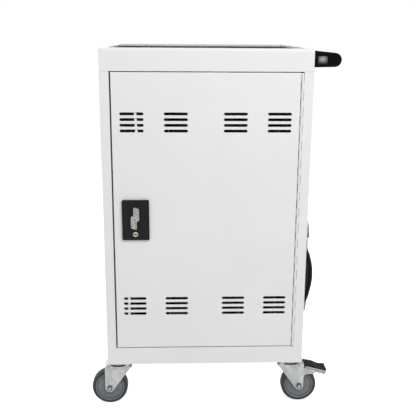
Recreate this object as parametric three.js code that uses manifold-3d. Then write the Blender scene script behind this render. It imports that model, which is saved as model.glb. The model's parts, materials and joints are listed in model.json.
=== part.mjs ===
// A laptop charging cart: a white steel cabinet on four swivel casters. A vented front door with a
// turn-knob rod lock closes the device bay, and a rear door closes the charger bay. A pull handle
// and a mains cord wound on two hooks are on the right side.
// Millimetres, +Z up, front towards -Y. The origin is on the floor under the middle of the cart.

import * as THREE from 'three';
import { mergeVertices } from 'three/addons/utils/BufferGeometryUtils.js';
import Module from 'manifold-3d';

const wasm = await Module();
wasm.setup();

// Cabinet
const bodyWidth = 540;
const bodyDepth = 530;
const bodyHeight = 856;
const casterHeight = 135.5;
const sheet = 1.2;
const seam = 0.3;
const stileWidth = 24;
const sillHeight = 48;
const coverHeight = 57;
const jambDepth = 24;
const foldWidth = 14;
const coverLip = 18;
const coverRound = 7;
const rimWidth = 14;
const trayDepth = 8.5;
const matThickness = 3;
const pastFace = 1;

// Doors
const latchGap = 4;
const endGap = 2.4;
const doorDepth = 22;
const ventLength = 61;
const ventHeight = 7.4;
const ventPitch = 14.5;
const ventRows = 4;
const ventColumns = [-189, -76.4, 76.4, 189];
const ventOffset = 249.5;
const ventDrop = 1.8;

// Hinges
const hingeRadius = 3.7;
const hingeProud = 1;
const hingeLeaf = 1.2;
const hingePin = 1.4;
const hingeBore = 2;
const hingeDepth = 18;
const knuckleGap = 0.5;
const frontKnuckles = 34;
const rearKnuckles = 17;

// Front lock
const knobFromEdge = 56;
const knobBelowMiddle = 1.5;
const plateWidth = 71;
const plateHeight = 108;
const plateThickness = 6;
const plateShift = 1;
const plateDrop = 7;
const plateBorder = 2.5;
const plateDish = 1.5;
const knobLength = 58.5;
const knobOuter = 10.4;
const knobInner = 2.8;
const knobThickness = 12;
const knobBevel = 1;
const spindleRadius = 5;
const keyRadius = 7;
const keyDrop = 45;
const keyProud = 1.5;
const keySlotLength = 8;
const keySlotWidth = 1.4;
const camFromFace = 9;
const camThickness = 3;
const camPinRadius = 18;
const camEndRadius = 7;
const rodRadius = 3;
const rodPlay = 0.4;
const upperGuideShift = -1;
const lowerGuideShift = -23;
const guideWidth = 16;
const guideSway = 2;

// Rear lock
const rearLockFromEdge = 26;
const rearLockRadius = 8;
const tongueLength = 36;
const tongueWidth = 14;
const tongueThickness = 2.5;

// Device bay
const bayDepth = 395;
const shelfSetback = 34;
const shelfAboveSill = 6;
const shelfFlange = 14;
const ledgeWidth = 16;
const ledgeThickness = 2;
const slotsPerShelf = 10;
const dividerHeight = 230;
const dividerThickness = 2;
const dividerSetback = 16;
const dividerRearGap = 50;
const dividerRound = 70;
const cableSlotHeight = 36;
const cableSlotLength = 420;
const cableSlotRise = 268;
const baseFlange = 28;

// Power strips
const stripLength = 450;
const stripHeight = 46;
const stripDepth = 38;
const stripRise = 150;
const outletSize = 30;
const outletDepth = 3;

// Pull handle
const handleInset = 60;
const handleThickness = 30;
const handleReach = 64.6;
const handleTip = 18;
const handleRoot = 44;
const handleBelowTop = 27;
const handleTipDrop = 2.5;
const gripRadius = 14;
const coverPlate = [26, 20];
const coverPlateDepth = 0.8;

// Cord
const cordRadius = 4.5;
const cordGap = 0.6;
const hankFromFront = 200;
const hankMiddle = 214.5;
const hankRun = 140;
const hankRadius = 30;
const hankTurns = 3;
const hankBow = 9;
const hankFan = 2.2;
const hankSlump = 1.5;
const hankSteps = 24;
const hankSides = 6;
const tailSteps = 6;
const tailShift = 20;
const tailDrop = 62;
const tailStraight = 11;
const hookWidth = 22;
const hookSheet = 2;
const hookLip = 46;
const hookLean = 4;
const hookPlateHeight = 44;
const glandFromFront = 400;
const glandRise = 244.5;
const glandReach = 13;
const glandNose = 7.5;
const glandNoseLength = 24;
const glandBlock = 26;
const glandStud = 9;
const leadStraight = 12;
const leadRun = 50;
const leadSag = 4;
const leadBend = 40;
const leadSides = 10;
const leadSteps = 16;
const plugRadius = 13;
const plugLength = 44;
const bladeLength = 16;
const bladeWidth = 6;
const bladeThickness = 1.5;
const bladeSpacing = 12;
const groundRadius = 2.4;
const groundOffset = 7;
const groundExtra = 3;

// Casters
const casterInset = 27.5;
const casterFromFace = 44;
const casterTrail = 27;
const wheelRadius = 50;
const wheelWidth = 32;
const wheelSegments = 20;
const treadCrown = 1;
const treadEdge = 4;
const tyreShoulder = 3.5;
const tyreDish = 2;
const hubRadius = 36;
const hubSet = 2.5;
const hubRim = 3;
const hubSlope = 6;
const hubDish = 7;
const webSet = 5;
const bossRoot = 12;
const bossEnd = 11;
const axleRadius = 5;
const nutRadius = 8;
const legGap = 3;
const legThickness = 2.5;
const legEndRadius = 12.5;
const legTop = 36;
const plateSize = [64, 84];
const plateSheet = 3;
const raceRadius = 30;
const raceHeight = 9.5;
const crownRadius = 36;
const crownHeight = 10;
const kingpinRadius = 6;
const kingpinHead = 9;

// Brakes
const pivotReach = 66;
const pivotDrop = 43.5;
const pivotRadius = 2.5;
const armRadius = 6;
const leverBoss = 5.5;
const padReach = 104;
const padInnerDrop = 24.5;
const padTipDrop = 41;
const padGap = 2.2;
const padThickness = 4;
const padHalfWidth = 23;
const leverSheet = 1.2;
const leverSkirt = 6;
const shoeReach = 4;
const shoeRadius = 2.2;
const shoeAngle = 262;

// Levels and faces that follow from the sizes above
const bodyBottom = casterHeight;
const bodyTop = bodyBottom + bodyHeight;
const halfWidth = bodyWidth / 2;
const front = -bodyDepth / 2;
const rear = bodyDepth / 2;
const coverBottom = bodyTop - coverHeight;
const frameTop = coverBottom - seam;
const openingHalf = halfWidth - stileWidth;
const sillTop = bodyBottom + sillHeight;
const doorLeft = -openingHalf + latchGap;
const doorRight = openingHalf - 2 * (hingeRadius + seam);
const doorBottom = sillTop + endGap;
const doorTop = coverBottom - endGap;
const doorMiddle = (doorBottom + doorTop) / 2;
const doorCentre = (doorLeft + doorRight) / 2;
const hingeX = openingHalf - hingeRadius - seam;
const knobX = doorLeft + knobFromEdge;
const knobZ = doorMiddle - knobBelowMiddle;
const rodDepth = camFromFace + camThickness + rodPlay + rodRadius;
const upperGuideX = knobX + upperGuideShift + guideSway;
const lowerGuideX = knobX + lowerGuideShift - guideSway;
const partitionFace = front + bayDepth;
const lowerShelfTop = sillTop + shelfAboveSill;
const shelfSpacing = (coverBottom - lowerShelfTop) / 2;
const shelfLevels = { lower: lowerShelfTop, upper: lowerShelfTop + shelfSpacing };
const slotPitch = 2 * openingHalf / slotsPerShelf;
const outletsPerStrip = slotsPerShelf;
const hankY = front + hankFromFront;
const hankZ = bodyBottom + hankMiddle;
const cordPitch = 2 * cordRadius + cordGap;
const hankStart = halfWidth + 2 * cordGap + cordRadius;
const hankLoops = 2 * hankTurns - 1;
const hankStepCount = hankLoops * hankSteps + tailSteps;
const plugX = halfWidth + plugRadius + 2 * cordGap;
const hookDepth = 2 * cordGap + hankTurns * cordPitch + 2 * cordRadius + 2 * cordGap;

// Finishes
const finishes = {
  whiteSteel: { color: '#e6e6e4', roughness: 0.5, metalness: 0 },
  zinc: { color: '#a9abad', roughness: 0.35, metalness: 1 },
  satinSteel: { color: '#b4b4b1', roughness: 0.4, metalness: 1 },
  brass: { color: '#a89a78', roughness: 0.35, metalness: 1 },
  blackPlastic: { color: '#18191b', roughness: 0.35, metalness: 0 },
  blackRubber: { color: '#242627', roughness: 0.8, metalness: 0 },
  greyTyre: { color: '#3c3d3f', roughness: 0.75, metalness: 0 },
  greyHub: { color: '#6a6b6d', roughness: 0.6, metalness: 0 },
};

function finish(name) {
  return new THREE.MeshStandardMaterial({ name, ...finishes[name] });
}

// Solids: every geometry becomes a closed body before it is joined, cut or placed
function toSolid(geometry) {
  const bare = geometry.clone();
  bare.deleteAttribute('normal');
  bare.deleteAttribute('uv');
  const merged = mergeVertices(bare, 1e-4);
  const corners = merged.index.array;
  const triangles = [];
  for (let i = 0; i < corners.length; i += 3) {
    const [a, b, c] = [corners[i], corners[i + 1], corners[i + 2]];
    if (a !== b && b !== c && c !== a) triangles.push(a, b, c);
  }
  return new wasm.Manifold(new wasm.Mesh({
    numProp: 3,
    vertProperties: new Float32Array(merged.attributes.position.array),
    triVerts: new Uint32Array(triangles),
  }));
}

function toGeometry(solid) {
  const mesh = solid.getMesh();
  const geometry = new THREE.BufferGeometry();
  geometry.setAttribute('position', new THREE.BufferAttribute(mesh.vertProperties, 3));
  geometry.setIndex(new THREE.BufferAttribute(mesh.triVerts, 1));
  geometry.computeVertexNormals();
  return geometry;
}

function join(...geometries) {
  return toGeometry(geometries.map(toSolid).reduce((whole, next) => whole.add(next)));
}

function cut(base, ...tools) {
  return toGeometry(tools.map(toSolid).reduce((whole, tool) => whole.subtract(tool), toSolid(base)));
}

function meet(first, second) {
  return toGeometry(toSolid(first).intersect(toSolid(second)));
}

function piece(name, geometry, material) {
  const mesh = new THREE.Mesh(toGeometry(toSolid(geometry)), finish(material));
  mesh.name = name;
  return mesh;
}

// Basic shapes, each given by its limits along X, Y and Z
function block([x0, x1], [y0, y1], [z0, z1]) {
  const geometry = new THREE.BoxGeometry(x1 - x0, y1 - y0, z1 - z0);
  return geometry.translate((x0 + x1) / 2, (y0 + y1) / 2, (z0 + z1) / 2);
}

function prism(shape, depth, curveSegments = 2) {
  return new THREE.ExtrudeGeometry(shape, { depth, bevelEnabled: false, curveSegments });
}

// A shape drawn in X and Y, run along Z
function prismAlongZ(shape, [z0, z1], curveSegments) {
  return prism(shape, z1 - z0, curveSegments).translate(0, 0, z0);
}

// A shape drawn in X and Z, run along Y
function prismAlongY(shape, [y0, y1], curveSegments) {
  return prism(shape, y1 - y0, curveSegments).rotateX(Math.PI / 2).translate(0, y1, 0);
}

// A shape drawn in Y and Z, run along X
function prismAlongX(shape, [x0, x1], curveSegments) {
  const turn = new THREE.Matrix4().makeBasis(
    new THREE.Vector3(0, 1, 0),
    new THREE.Vector3(0, 0, 1),
    new THREE.Vector3(1, 0, 0),
  );
  return prism(shape, x1 - x0, curveSegments).applyMatrix4(turn).translate(x0, 0, 0);
}

function rodAlongX(radius, [x0, x1], y, z, sides = 12) {
  const geometry = new THREE.CylinderGeometry(radius, radius, x1 - x0, sides);
  return geometry.rotateZ(Math.PI / 2).translate((x0 + x1) / 2, y, z);
}

function rodAlongY(radius, x, [y0, y1], z, sides = 12) {
  return new THREE.CylinderGeometry(radius, radius, y1 - y0, sides).translate(x, (y0 + y1) / 2, z);
}

function rodAlongZ(radius, x, y, [z0, z1], sides = 12) {
  const geometry = new THREE.CylinderGeometry(radius, radius, z1 - z0, sides);
  return geometry.rotateX(Math.PI / 2).translate(x, y, (z0 + z1) / 2);
}

function outline(points) {
  return new THREE.Shape(points.map(([x, y]) => new THREE.Vector2(x, y)));
}

function roundEnded(length, height, x, z) {
  const radius = height / 2;
  const reach = length / 2 - radius;
  const shape = new THREE.Shape();
  shape.absarc(x + reach, z, radius, -Math.PI / 2, Math.PI / 2);
  shape.absarc(x - reach, z, radius, Math.PI / 2, 3 * Math.PI / 2);
  return shape;
}

// The angle where a line from a point touches a circle about the origin, on the chosen side
function tangentAngle(x, y, radius, side) {
  return Math.atan2(y, x) + side * Math.acos(radius / Math.hypot(x, y));
}

// Cabinet shell
function topCover() {
  // The cover seen from one side, drawn in by an inset, with its two top edges rounded
  const along = (half, inset) => {
    const shape = new THREE.Shape();
    const shoulder = half - coverRound;
    const round = coverRound - inset;
    shape.moveTo(-half + inset, coverBottom + inset);
    shape.lineTo(half - inset, coverBottom + inset);
    shape.absarc(shoulder, bodyTop - coverRound, round, 0, Math.PI / 2);
    shape.absarc(-shoulder, bodyTop - coverRound, round, Math.PI / 2, Math.PI);
    return shape;
  };
  const form = (inset) => meet(
    prismAlongY(along(halfWidth, inset), [front + inset, rear - inset]),
    prismAlongX(along(rear, inset), [-halfWidth + inset, halfWidth - inset]),
  );
  const inside = (inset, levels) => block(
    [-halfWidth + inset, halfWidth - inset],
    [front + inset, rear - inset],
    levels,
  );
  const trayFloor = bodyTop - trayDepth;
  const underside = cut(form(sheet), inside(rimWidth - sheet, [trayFloor - sheet, bodyTop]));
  const rodSlot = guideSlot(upperGuideX, [coverBottom - pastFace, coverBottom + sheet + pastFace]);
  return cut(
    form(0),
    inside(rimWidth, [trayFloor, bodyTop + pastFace]),
    underside,
    inside(coverLip, [coverBottom - pastFace, coverBottom + sheet + pastFace]),
    rodSlot.translate(0, front, 0),
  );
}

function topMat() {
  const inset = rimWidth + seam;
  const floor = bodyTop - trayDepth + seam;
  return block(
    [-halfWidth + inset, halfWidth - inset],
    [front + inset, rear - inset],
    [floor, floor + matThickness],
  );
}

// A slot that a lock rod slides through, set over to the side that the rod sways to
function guideSlot(middle, levels) {
  const depth = 2 * (rodRadius + 2 * rodPlay);
  return block(
    [middle - guideWidth / 2, middle + guideWidth / 2],
    [rodDepth - depth / 2, rodDepth + depth / 2],
    levels,
  );
}

function doorFrame(slots) {
  const face = cut(
    block([-halfWidth, halfWidth], [0, sheet], [bodyBottom, frameTop]),
    block([-openingHalf, openingHalf], [-pastFace, sheet + pastFace], [sillTop, frameTop + pastFace]),
  );
  const jamb = ([x0, x1]) => block([x0, x1], [0, jambDepth], [sillTop - sheet, frameTop]);
  const sill = block(
    [-openingHalf - sheet, openingHalf + sheet],
    [0, jambDepth],
    [sillTop - sheet, sillTop],
  );
  const frame = join(
    face,
    jamb([-openingHalf - sheet, -openingHalf]),
    jamb([openingHalf, openingHalf + sheet]),
    sill,
  );
  return cut(frame, ...slots);
}

function sidePanel(side) {
  const low = front + sheet + seam;
  const high = rear - sheet - seam;
  const section = outline([
    [side * halfWidth, low],
    [side * (halfWidth - foldWidth), low],
    [side * (halfWidth - foldWidth), low + sheet],
    [side * (halfWidth - sheet), low + sheet],
    [side * (halfWidth - sheet), high - sheet],
    [side * (halfWidth - foldWidth), high - sheet],
    [side * (halfWidth - foldWidth), high],
    [side * halfWidth, high],
  ]);
  const ledgeFaces = [side * (halfWidth - sheet / 2), side * (halfWidth - ledgeWidth)];
  const ledge = (level) => block(
    ledgeFaces.sort((a, b) => a - b),
    [front + shelfSetback, partitionFace - 2 * seam],
    [level - sheet - seam - ledgeThickness, level - sheet - seam],
  );
  const panel = join(
    prismAlongZ(section, [bodyBottom, frameTop]),
    ...Object.values(shelfLevels).map(ledge),
  );
  if (side < 0) return panel;
  const hole = rodAlongX(
    glandStud + seam,
    [halfWidth - sheet - pastFace, halfWidth + pastFace],
    front + glandFromFront + glandBlock / 2,
    bodyBottom + glandRise,
  );
  return cut(panel, hole);
}

function basePan() {
  const halfX = halfWidth - sheet - seam;
  const halfY = bodyDepth / 2 - 2 * (sheet + seam);
  return cut(
    block([-halfX, halfX], [-halfY, halfY], [bodyBottom, bodyBottom + baseFlange]),
    block(
      [-halfX + sheet, halfX - sheet],
      [-halfY + sheet, halfY - sheet],
      [bodyBottom + sheet, bodyBottom + baseFlange + pastFace],
    ),
  );
}

// Device bay
function partitionPanel() {
  const halfX = halfWidth - 2 * (sheet + seam);
  const slots = Object.values(shelfLevels).map((level) => prismAlongY(
    roundEnded(cableSlotLength, cableSlotHeight, 0, level + cableSlotRise),
    [partitionFace - pastFace, partitionFace + sheet + pastFace],
  ));
  return cut(
    block([-halfX, halfX], [partitionFace, partitionFace + sheet], [bodyBottom + sheet + seam, frameTop]),
    ...slots,
  );
}

function shelf(level) {
  const halfX = halfWidth - sheet - seam;
  const low = front + shelfSetback;
  const high = partitionFace - seam;
  const flangeX = halfWidth - ledgeWidth - seam;
  const plate = block([-halfX, halfX], [low, high], [level - sheet, level]);
  const flange = block([-flangeX, flangeX], [low, low + sheet], [level - shelfFlange, level]);
  const dividers = [];
  for (let i = 1; i < slotsPerShelf; i += 1) {
    const x = -openingHalf + i * slotPitch;
    dividers.push(divider(x, [low + dividerSetback, high - dividerRearGap], level));
  }
  return join(plate, flange, ...dividers);
}

function divider(x, [low, high], level) {
  const top = level + dividerHeight;
  const shape = new THREE.Shape();
  shape.moveTo(high, level - sheet / 2);
  shape.lineTo(high, top);
  shape.lineTo(low + dividerRound, top);
  shape.absarc(low + dividerRound, top - dividerRound, dividerRound, Math.PI / 2, Math.PI);
  shape.lineTo(low, level - sheet / 2);
  return prismAlongX(shape, [x - dividerThickness / 2, x + dividerThickness / 2], 3);
}

function powerStrip(level) {
  const low = partitionFace + sheet + seam;
  const high = low + stripDepth;
  const middle = level + stripRise;
  const body = block(
    [-stripLength / 2, stripLength / 2],
    [low, high],
    [middle - stripHeight / 2, middle + stripHeight / 2],
  );
  const pitch = stripLength / outletsPerStrip;
  const outlets = [];
  for (let i = 0; i < outletsPerStrip; i += 1) {
    const x = (i + 0.5) * pitch - stripLength / 2;
    outlets.push(block(
      [x - outletSize / 2, x + outletSize / 2],
      [high - outletDepth, high + pastFace],
      [middle - outletSize / 2, middle + outletSize / 2],
    ));
  }
  return cut(body, ...outlets);
}

// Doors, drawn from their outer face at y = 0 inwards along +Y
function ventSlots() {
  const slots = [];
  for (const group of [-ventOffset, ventOffset]) {
    for (let row = 0; row < ventRows; row += 1) {
      const z = doorMiddle - ventDrop + group + (row - (ventRows - 1) / 2) * ventPitch;
      for (const column of ventColumns) {
        const shape = roundEnded(ventLength, ventHeight, doorCentre + column, z);
        slots.push(prismAlongY(shape, [-pastFace, sheet + pastFace]));
      }
    }
  }
  return slots;
}

function doorPan(holes) {
  const pan = cut(
    block([doorLeft, doorRight], [0, doorDepth], [doorBottom, doorTop]),
    block(
      [doorLeft + sheet, doorRight - sheet],
      [sheet, doorDepth + pastFace],
      [doorBottom + sheet, doorTop - sheet],
    ),
  );
  return cut(pan, ...ventSlots(), ...holes);
}

function frontDoorHoles() {
  const through = [-pastFace, sheet + pastFace];
  return [
    rodAlongY(spindleRadius + 2 * seam, knobX, through, knobZ),
    rodAlongY(keyRadius + seam, knobX, through, knobZ - keyDrop, 16),
    guideSlot(upperGuideX, [doorTop - sheet - pastFace, doorTop + pastFace]),
    guideSlot(lowerGuideX, [doorBottom - pastFace, doorBottom + sheet + pastFace]),
  ];
}

// Hinges: the knuckles alternate between the frame's leaf (side 1) and the door's leaf (side -1)
function knuckleSpans(count) {
  const length = (doorTop - doorBottom) / count;
  const spans = [];
  for (let i = 0; i < count; i += 1) {
    const low = doorBottom + i * length;
    spans.push([low + knuckleGap / 2, low + length - knuckleGap / 2]);
  }
  return spans;
}

function hingeLeafSolid(side, count) {
  const spans = knuckleSpans(count);
  const own = spans.filter((span, i) => (i % 2 === 0) === (side > 0));
  const other = spans.filter((span, i) => (i % 2 === 0) !== (side > 0));
  const faces = [hingeX + side * hingeRadius, hingeX + side * (hingeRadius - hingeLeaf)];
  const levels = [spans[0][0] + knuckleGap, spans[count - 1][1] - knuckleGap];
  const plate = block(faces.sort((a, b) => a - b), [-hingeProud, hingeDepth], levels);
  const notches = other.map(([low, high]) => block(
    [hingeX - 2 * hingeRadius, hingeX + 2 * hingeRadius],
    [-2 * hingeRadius - hingeProud, hingeRadius + knuckleGap - hingeProud],
    [low - 2 * knuckleGap, high + 2 * knuckleGap],
  ));
  const barrels = own.map((span) => rodAlongZ(hingeRadius, hingeX, -hingeProud, span, 8));
  const bore = rodAlongZ(hingeBore, hingeX, -hingeProud, [doorBottom - pastFace, doorTop + pastFace], 6);
  return cut(join(cut(plate, ...notches), ...barrels), bore);
}

function hingePinSolid() {
  return rodAlongZ(hingePin, hingeX, -hingeProud, [doorBottom, doorTop], 8);
}

// Front lock
function lockPlate() {
  const x = knobX + plateShift;
  const z = knobZ - plateDrop;
  const back = -seam;
  const face = back - plateThickness;
  const rectangle = (inset, levels) => block(
    [x - plateWidth / 2 + inset, x + plateWidth / 2 - inset],
    levels,
    [z - plateHeight / 2 + inset, z + plateHeight / 2 - inset],
  );
  const through = [face - pastFace, back + pastFace];
  return cut(
    rectangle(0, [face, back]),
    rectangle(plateBorder, [face - pastFace, face + plateDish]),
    rodAlongY(spindleRadius + seam, knobX, through, knobZ),
    rodAlongY(keyRadius + seam, knobX, through, knobZ - keyDrop, 16),
  );
}

// Half of the knob's outline, from the lower right round the upper arm; the other half is it turned
function knobHalf() {
  const end = knobLength / 2;
  const path = new THREE.Path();
  path.moveTo(knobOuter, -knobInner);
  path.lineTo(knobOuter, end - knobOuter / 2);
  path.quadraticCurveTo(knobOuter, end, knobInner, end);
  path.lineTo(-knobInner / 3, end);
  path.quadraticCurveTo(-knobInner, end, -knobInner, end - knobInner);
  path.lineTo(-knobInner, knobOuter);
  path.quadraticCurveTo(-knobInner, 2 * knobInner, -knobOuter, knobInner);
  return path.getPoints(4);
}

function turnKnob() {
  const half = knobHalf();
  const turned = half.map((point) => new THREE.Vector2(-point.x, -point.y));
  const shape = new THREE.Shape([...half, ...turned.slice(1, -1)]);
  const wing = new THREE.ExtrudeGeometry(shape, {
    depth: knobThickness - 2 * knobBevel,
    bevelEnabled: true,
    bevelThickness: knobBevel,
    bevelSize: knobBevel,
    bevelOffset: -knobBevel,
    bevelSegments: 1,
  });
  const back = -seam - plateThickness + plateDish - seam;
  wing.rotateX(Math.PI / 2).translate(knobX, back - knobBevel, knobZ);
  const spindle = rodAlongY(spindleRadius, knobX, [back - knobBevel, camFromFace + camThickness], knobZ);
  return join(wing, spindle);
}

function lockCam() {
  const depths = [camFromFace, camFromFace + camThickness];
  const middle = rodAlongY(camEndRadius + camThickness, knobX, depths, knobZ);
  const bar = prismAlongY(
    roundEnded(2 * (camPinRadius + camEndRadius), 2 * camEndRadius, knobX, knobZ),
    depths,
  );
  const through = [camFromFace - pastFace, camFromFace + camThickness + pastFace];
  return cut(
    join(middle, bar),
    rodAlongY(spindleRadius + seam, knobX, through, knobZ),
    rodAlongY(rodRadius + rodPlay, knobX - camPinRadius, through, knobZ),
    rodAlongY(rodRadius + rodPlay, knobX + camPinRadius, through, knobZ),
  );
}

function keyCylinder() {
  const face = -seam - plateThickness - keyProud;
  const barrel = rodAlongY(keyRadius, knobX, [face, camFromFace], knobZ - keyDrop, 16);
  const slot = block(
    [knobX - keySlotWidth / 2, knobX + keySlotWidth / 2],
    [face - pastFace, face + 2 * keyProud],
    [knobZ - keyDrop - keySlotLength / 2, knobZ - keyDrop + keySlotLength / 2],
  );
  return cut(barrel, slot);
}

// A rod hooked into the cam, running up (direction 1) or down (direction -1) to its guide
function lockRod(name, direction, guideShift, guideLevel) {
  const pinX = knobX + direction * camPinRadius;
  const run = new THREE.Vector2(knobX + guideShift - pinX, guideLevel - knobZ);
  const rod = join(
    rodAlongZ(rodRadius, 0, 0, direction > 0 ? [0, run.length()] : [-run.length(), 0], 10),
    rodAlongY(rodRadius, 0, [camFromFace - camThickness / 2 - rodDepth, 0], 0, 10),
    new THREE.SphereGeometry(rodRadius, 10, 6),
  );
  const mesh = piece(name, rod, 'zinc');
  mesh.position.set(pinX, rodDepth, knobZ);
  mesh.rotation.y = Math.atan2(direction * run.x, direction * run.y);
  return mesh;
}

// Rear lock: a keyed plug with a tongue that turns behind the door frame
function rearLock() {
  const x = doorLeft + rearLockFromEdge;
  const face = -2 * keyProud;
  const tongueFace = jambDepth + seam;
  const barrel = rodAlongY(rearLockRadius, x, [-seam, tongueFace + tongueThickness], doorMiddle, 16);
  const rim = rodAlongY(rearLockRadius + 2 * keyProud, x, [face, -seam], doorMiddle, 16);
  const tongue = block(
    [x - tongueWidth / 2, x + tongueWidth / 2],
    [tongueFace, tongueFace + tongueThickness],
    [doorMiddle - tongueLength, doorMiddle],
  );
  const slot = block(
    [x - keySlotWidth / 2, x + keySlotWidth / 2],
    [face - pastFace, face + keyProud],
    [doorMiddle - keySlotLength / 2, doorMiddle + keySlotLength / 2],
  );
  return cut(join(barrel, rim, tongue), slot);
}

// Pull handle
const handleZ = bodyTop - handleBelowTop;
const gripX = halfWidth + handleReach;
const gripZ = handleZ - handleTipDrop;

function handleBracket([y0, y1], recessSide) {
  const root = { x: halfWidth + seam - gripX, low: handleZ - handleRoot / 2 - gripZ };
  root.high = root.low + handleRoot;
  const lowTouch = tangentAngle(root.x, root.low, handleTip, 1);
  const highTouch = tangentAngle(root.x, root.high, handleTip, -1);
  const shape = new THREE.Shape();
  shape.moveTo(root.x, root.high);
  shape.lineTo(root.x, root.low);
  shape.absarc(0, 0, handleTip, lowTouch, highTouch);
  const bracket = prismAlongY(shape, [y0, y1], 6);
  const [width, height] = coverPlate;
  const middle = root.x / 2;
  const face = recessSide < 0 ? [y0 - pastFace, y0 + coverPlateDepth] : [y1 - coverPlateDepth, y1 + pastFace];
  const recess = block([middle - width / 2, middle + width / 2], face, [-height / 2, height / 2]);
  return cut(bracket, recess).translate(gripX, 0, gripZ);
}

function addHandle(cart) {
  const frontEnd = [front + handleInset, front + handleInset + handleThickness];
  const rearEnd = [rear - handleInset - handleThickness, rear - handleInset];
  const grip = rodAlongY(gripRadius, gripX, [frontEnd[1] + seam, rearEnd[0] - seam], gripZ, 20);
  cart.add(piece('handle_front_bracket', handleBracket(frontEnd, -1), 'blackPlastic'));
  cart.add(piece('handle_rear_bracket', handleBracket(rearEnd, 1), 'blackPlastic'));
  cart.add(piece('handle_grip', grip, 'blackRubber'));
}

// Cord hooks: a curved saddle on a wall plate, with a lip whose end leans in over the two layers of cord
function cordHook() {
  const saddle = hankRadius - cordRadius - cordGap;
  const wall = halfWidth + seam;
  const lip = halfWidth + hookDepth;
  const spread = Math.asin(hookWidth / 2 / saddle);
  const arch = new THREE.Shape();
  arch.absarc(0, 0, saddle, Math.PI / 2 - spread, Math.PI / 2 + spread);
  arch.absarc(0, 0, saddle - hookSheet, Math.PI / 2 + spread, Math.PI / 2 - spread, true);
  const low = saddle * Math.cos(spread) - hookSheet;
  const wallPlate = block(
    [wall, wall + hookSheet],
    [-hookWidth / 2, hookWidth / 2],
    [low - hookPlateHeight, saddle],
  );
  const clear = saddle + 2 * cordPitch;
  const end = saddle + hookLip;
  const lipShape = outline([
    [lip, low],
    [lip + hookSheet, low],
    [lip + hookSheet, clear],
    [lip + hookSheet - hookLean, end],
    [lip - hookLean, end],
    [lip, clear],
  ]);
  return join(
    prismAlongX(arch, [wall, lip + hookSheet / 2], 4),
    wallPlate,
    prismAlongY(lipShape, [-hookWidth / 2, hookWidth / 2]),
  );
}

function addHooks(cart) {
  const upper = piece('upper_cord_hook', cordHook(), 'zinc');
  upper.position.set(0, hankY, hankZ + hankRun / 2);
  const lower = piece('lower_cord_hook', cordHook(), 'zinc');
  lower.position.set(0, hankY, hankZ - hankRun / 2);
  lower.rotation.x = Math.PI;
  cart.add(upper, lower);
}

// One loop's outline at a fraction of a turn: down the rear run, round the lower hook, up the front
// run, over the upper hook and down to the start; each round end takes a third of the turn
function loopPlace(fraction, radius) {
  const half = hankRun / 2;
  const place = fraction - Math.floor(fraction);
  if (place < 1 / 12) return { y: radius, z: -place * 12 * half };
  if (place < 5 / 12) {
    const angle = -Math.PI * (place - 1 / 12) * 3;
    return { y: radius * Math.cos(angle), z: -half + radius * Math.sin(angle) };
  }
  if (place < 7 / 12) return { y: -radius, z: (place - 1 / 2) * 12 * half };
  if (place < 11 / 12) {
    const angle = Math.PI * (1 - (place - 7 / 12) * 3);
    return { y: radius * Math.cos(angle), z: half + radius * Math.sin(angle) };
  }
  return { y: radius, z: (1 - place) * 12 * half };
}

// How far the loops bow out from the wall: most below the waist, where they slump, and none over the
// upper hook or under the lower one
function bowAt(z, radius) {
  const half = hankRun / 2;
  const fall = z > -half ? half - z : hankRun - (half + z) * hankRadius / radius;
  const share = THREE.MathUtils.clamp(fall / (hankRun + hankRadius), 0, 1);
  return Math.sin(Math.PI * share ** hankSlump);
}

// The hank's centre line: turns laid side by side outwards, a climb of one layer where the spiral
// reverses, turns back over all but the first, and a tail that leaves the hank and hangs beside it
class HankCurve extends THREE.Curve {
  getUtoTmapping(u) {
    return u;
  }

  getPoint(t) {
    const tailTurns = tailSteps / hankSteps;
    const turn = t * (hankLoops + tailTurns);
    return turn < hankLoops ? this.loopPoint(turn) : this.tailPoint((turn - hankLoops) / tailTurns);
  }

  loopPoint(turn) {
    const climb = THREE.MathUtils.clamp(2 * (turn - hankTurns) + 0.5, 0, 1);
    const side = hankTurns - Math.abs(turn - hankTurns);
    const radius = hankRadius + climb * cordPitch;
    const place = loopPlace(turn, radius);
    const ends = THREE.MathUtils.smoothstep(Math.min(turn, hankLoops - turn), 0, 1 / 2);
    const bow = ends * bowAt(place.z, radius) * (hankBow + hankFan * side);
    return new THREE.Vector3(hankStart + side * cordPitch + bow, hankY + place.y, hankZ + place.z);
  }

  tailPoint(fraction) {
    const end = this.loopPoint(hankLoops);
    const drop = fraction * (tailDrop + tailStraight);
    const ease = THREE.MathUtils.smoothstep(drop, 0, tailDrop);
    return end.add(new THREE.Vector3(ease * (plugX - end.x), ease * tailShift, -drop));
  }
}

const hankCurve = new HankCurve();

function tube(curve, radius, sides, steps) {
  const points = [];
  for (let i = 0; i < sides; i += 1) {
    const angle = 2 * Math.PI * i / sides;
    points.push([radius * Math.cos(angle), radius * Math.sin(angle)]);
  }
  return new THREE.ExtrudeGeometry(outline(points), { steps, extrudePath: curve, bevelEnabled: false });
}

// The least gap between stretches of the hank that aren't neighbours along it
function leastHankGap(steps) {
  const points = hankCurve.getPoints(steps);
  const apart = hankSteps / 3 * steps / hankStepCount;
  let least = Infinity;
  for (let i = 0; i < points.length; i += 1) {
    for (let j = Math.ceil(i + apart); j < points.length; j += 1) {
      least = Math.min(least, points[i].distanceTo(points[j]));
    }
  }
  return least - 2 * cordRadius;
}

console.log(`least gap in the hank ${leastHankGap(4 * hankStepCount).toFixed(2)} mm`);

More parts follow.
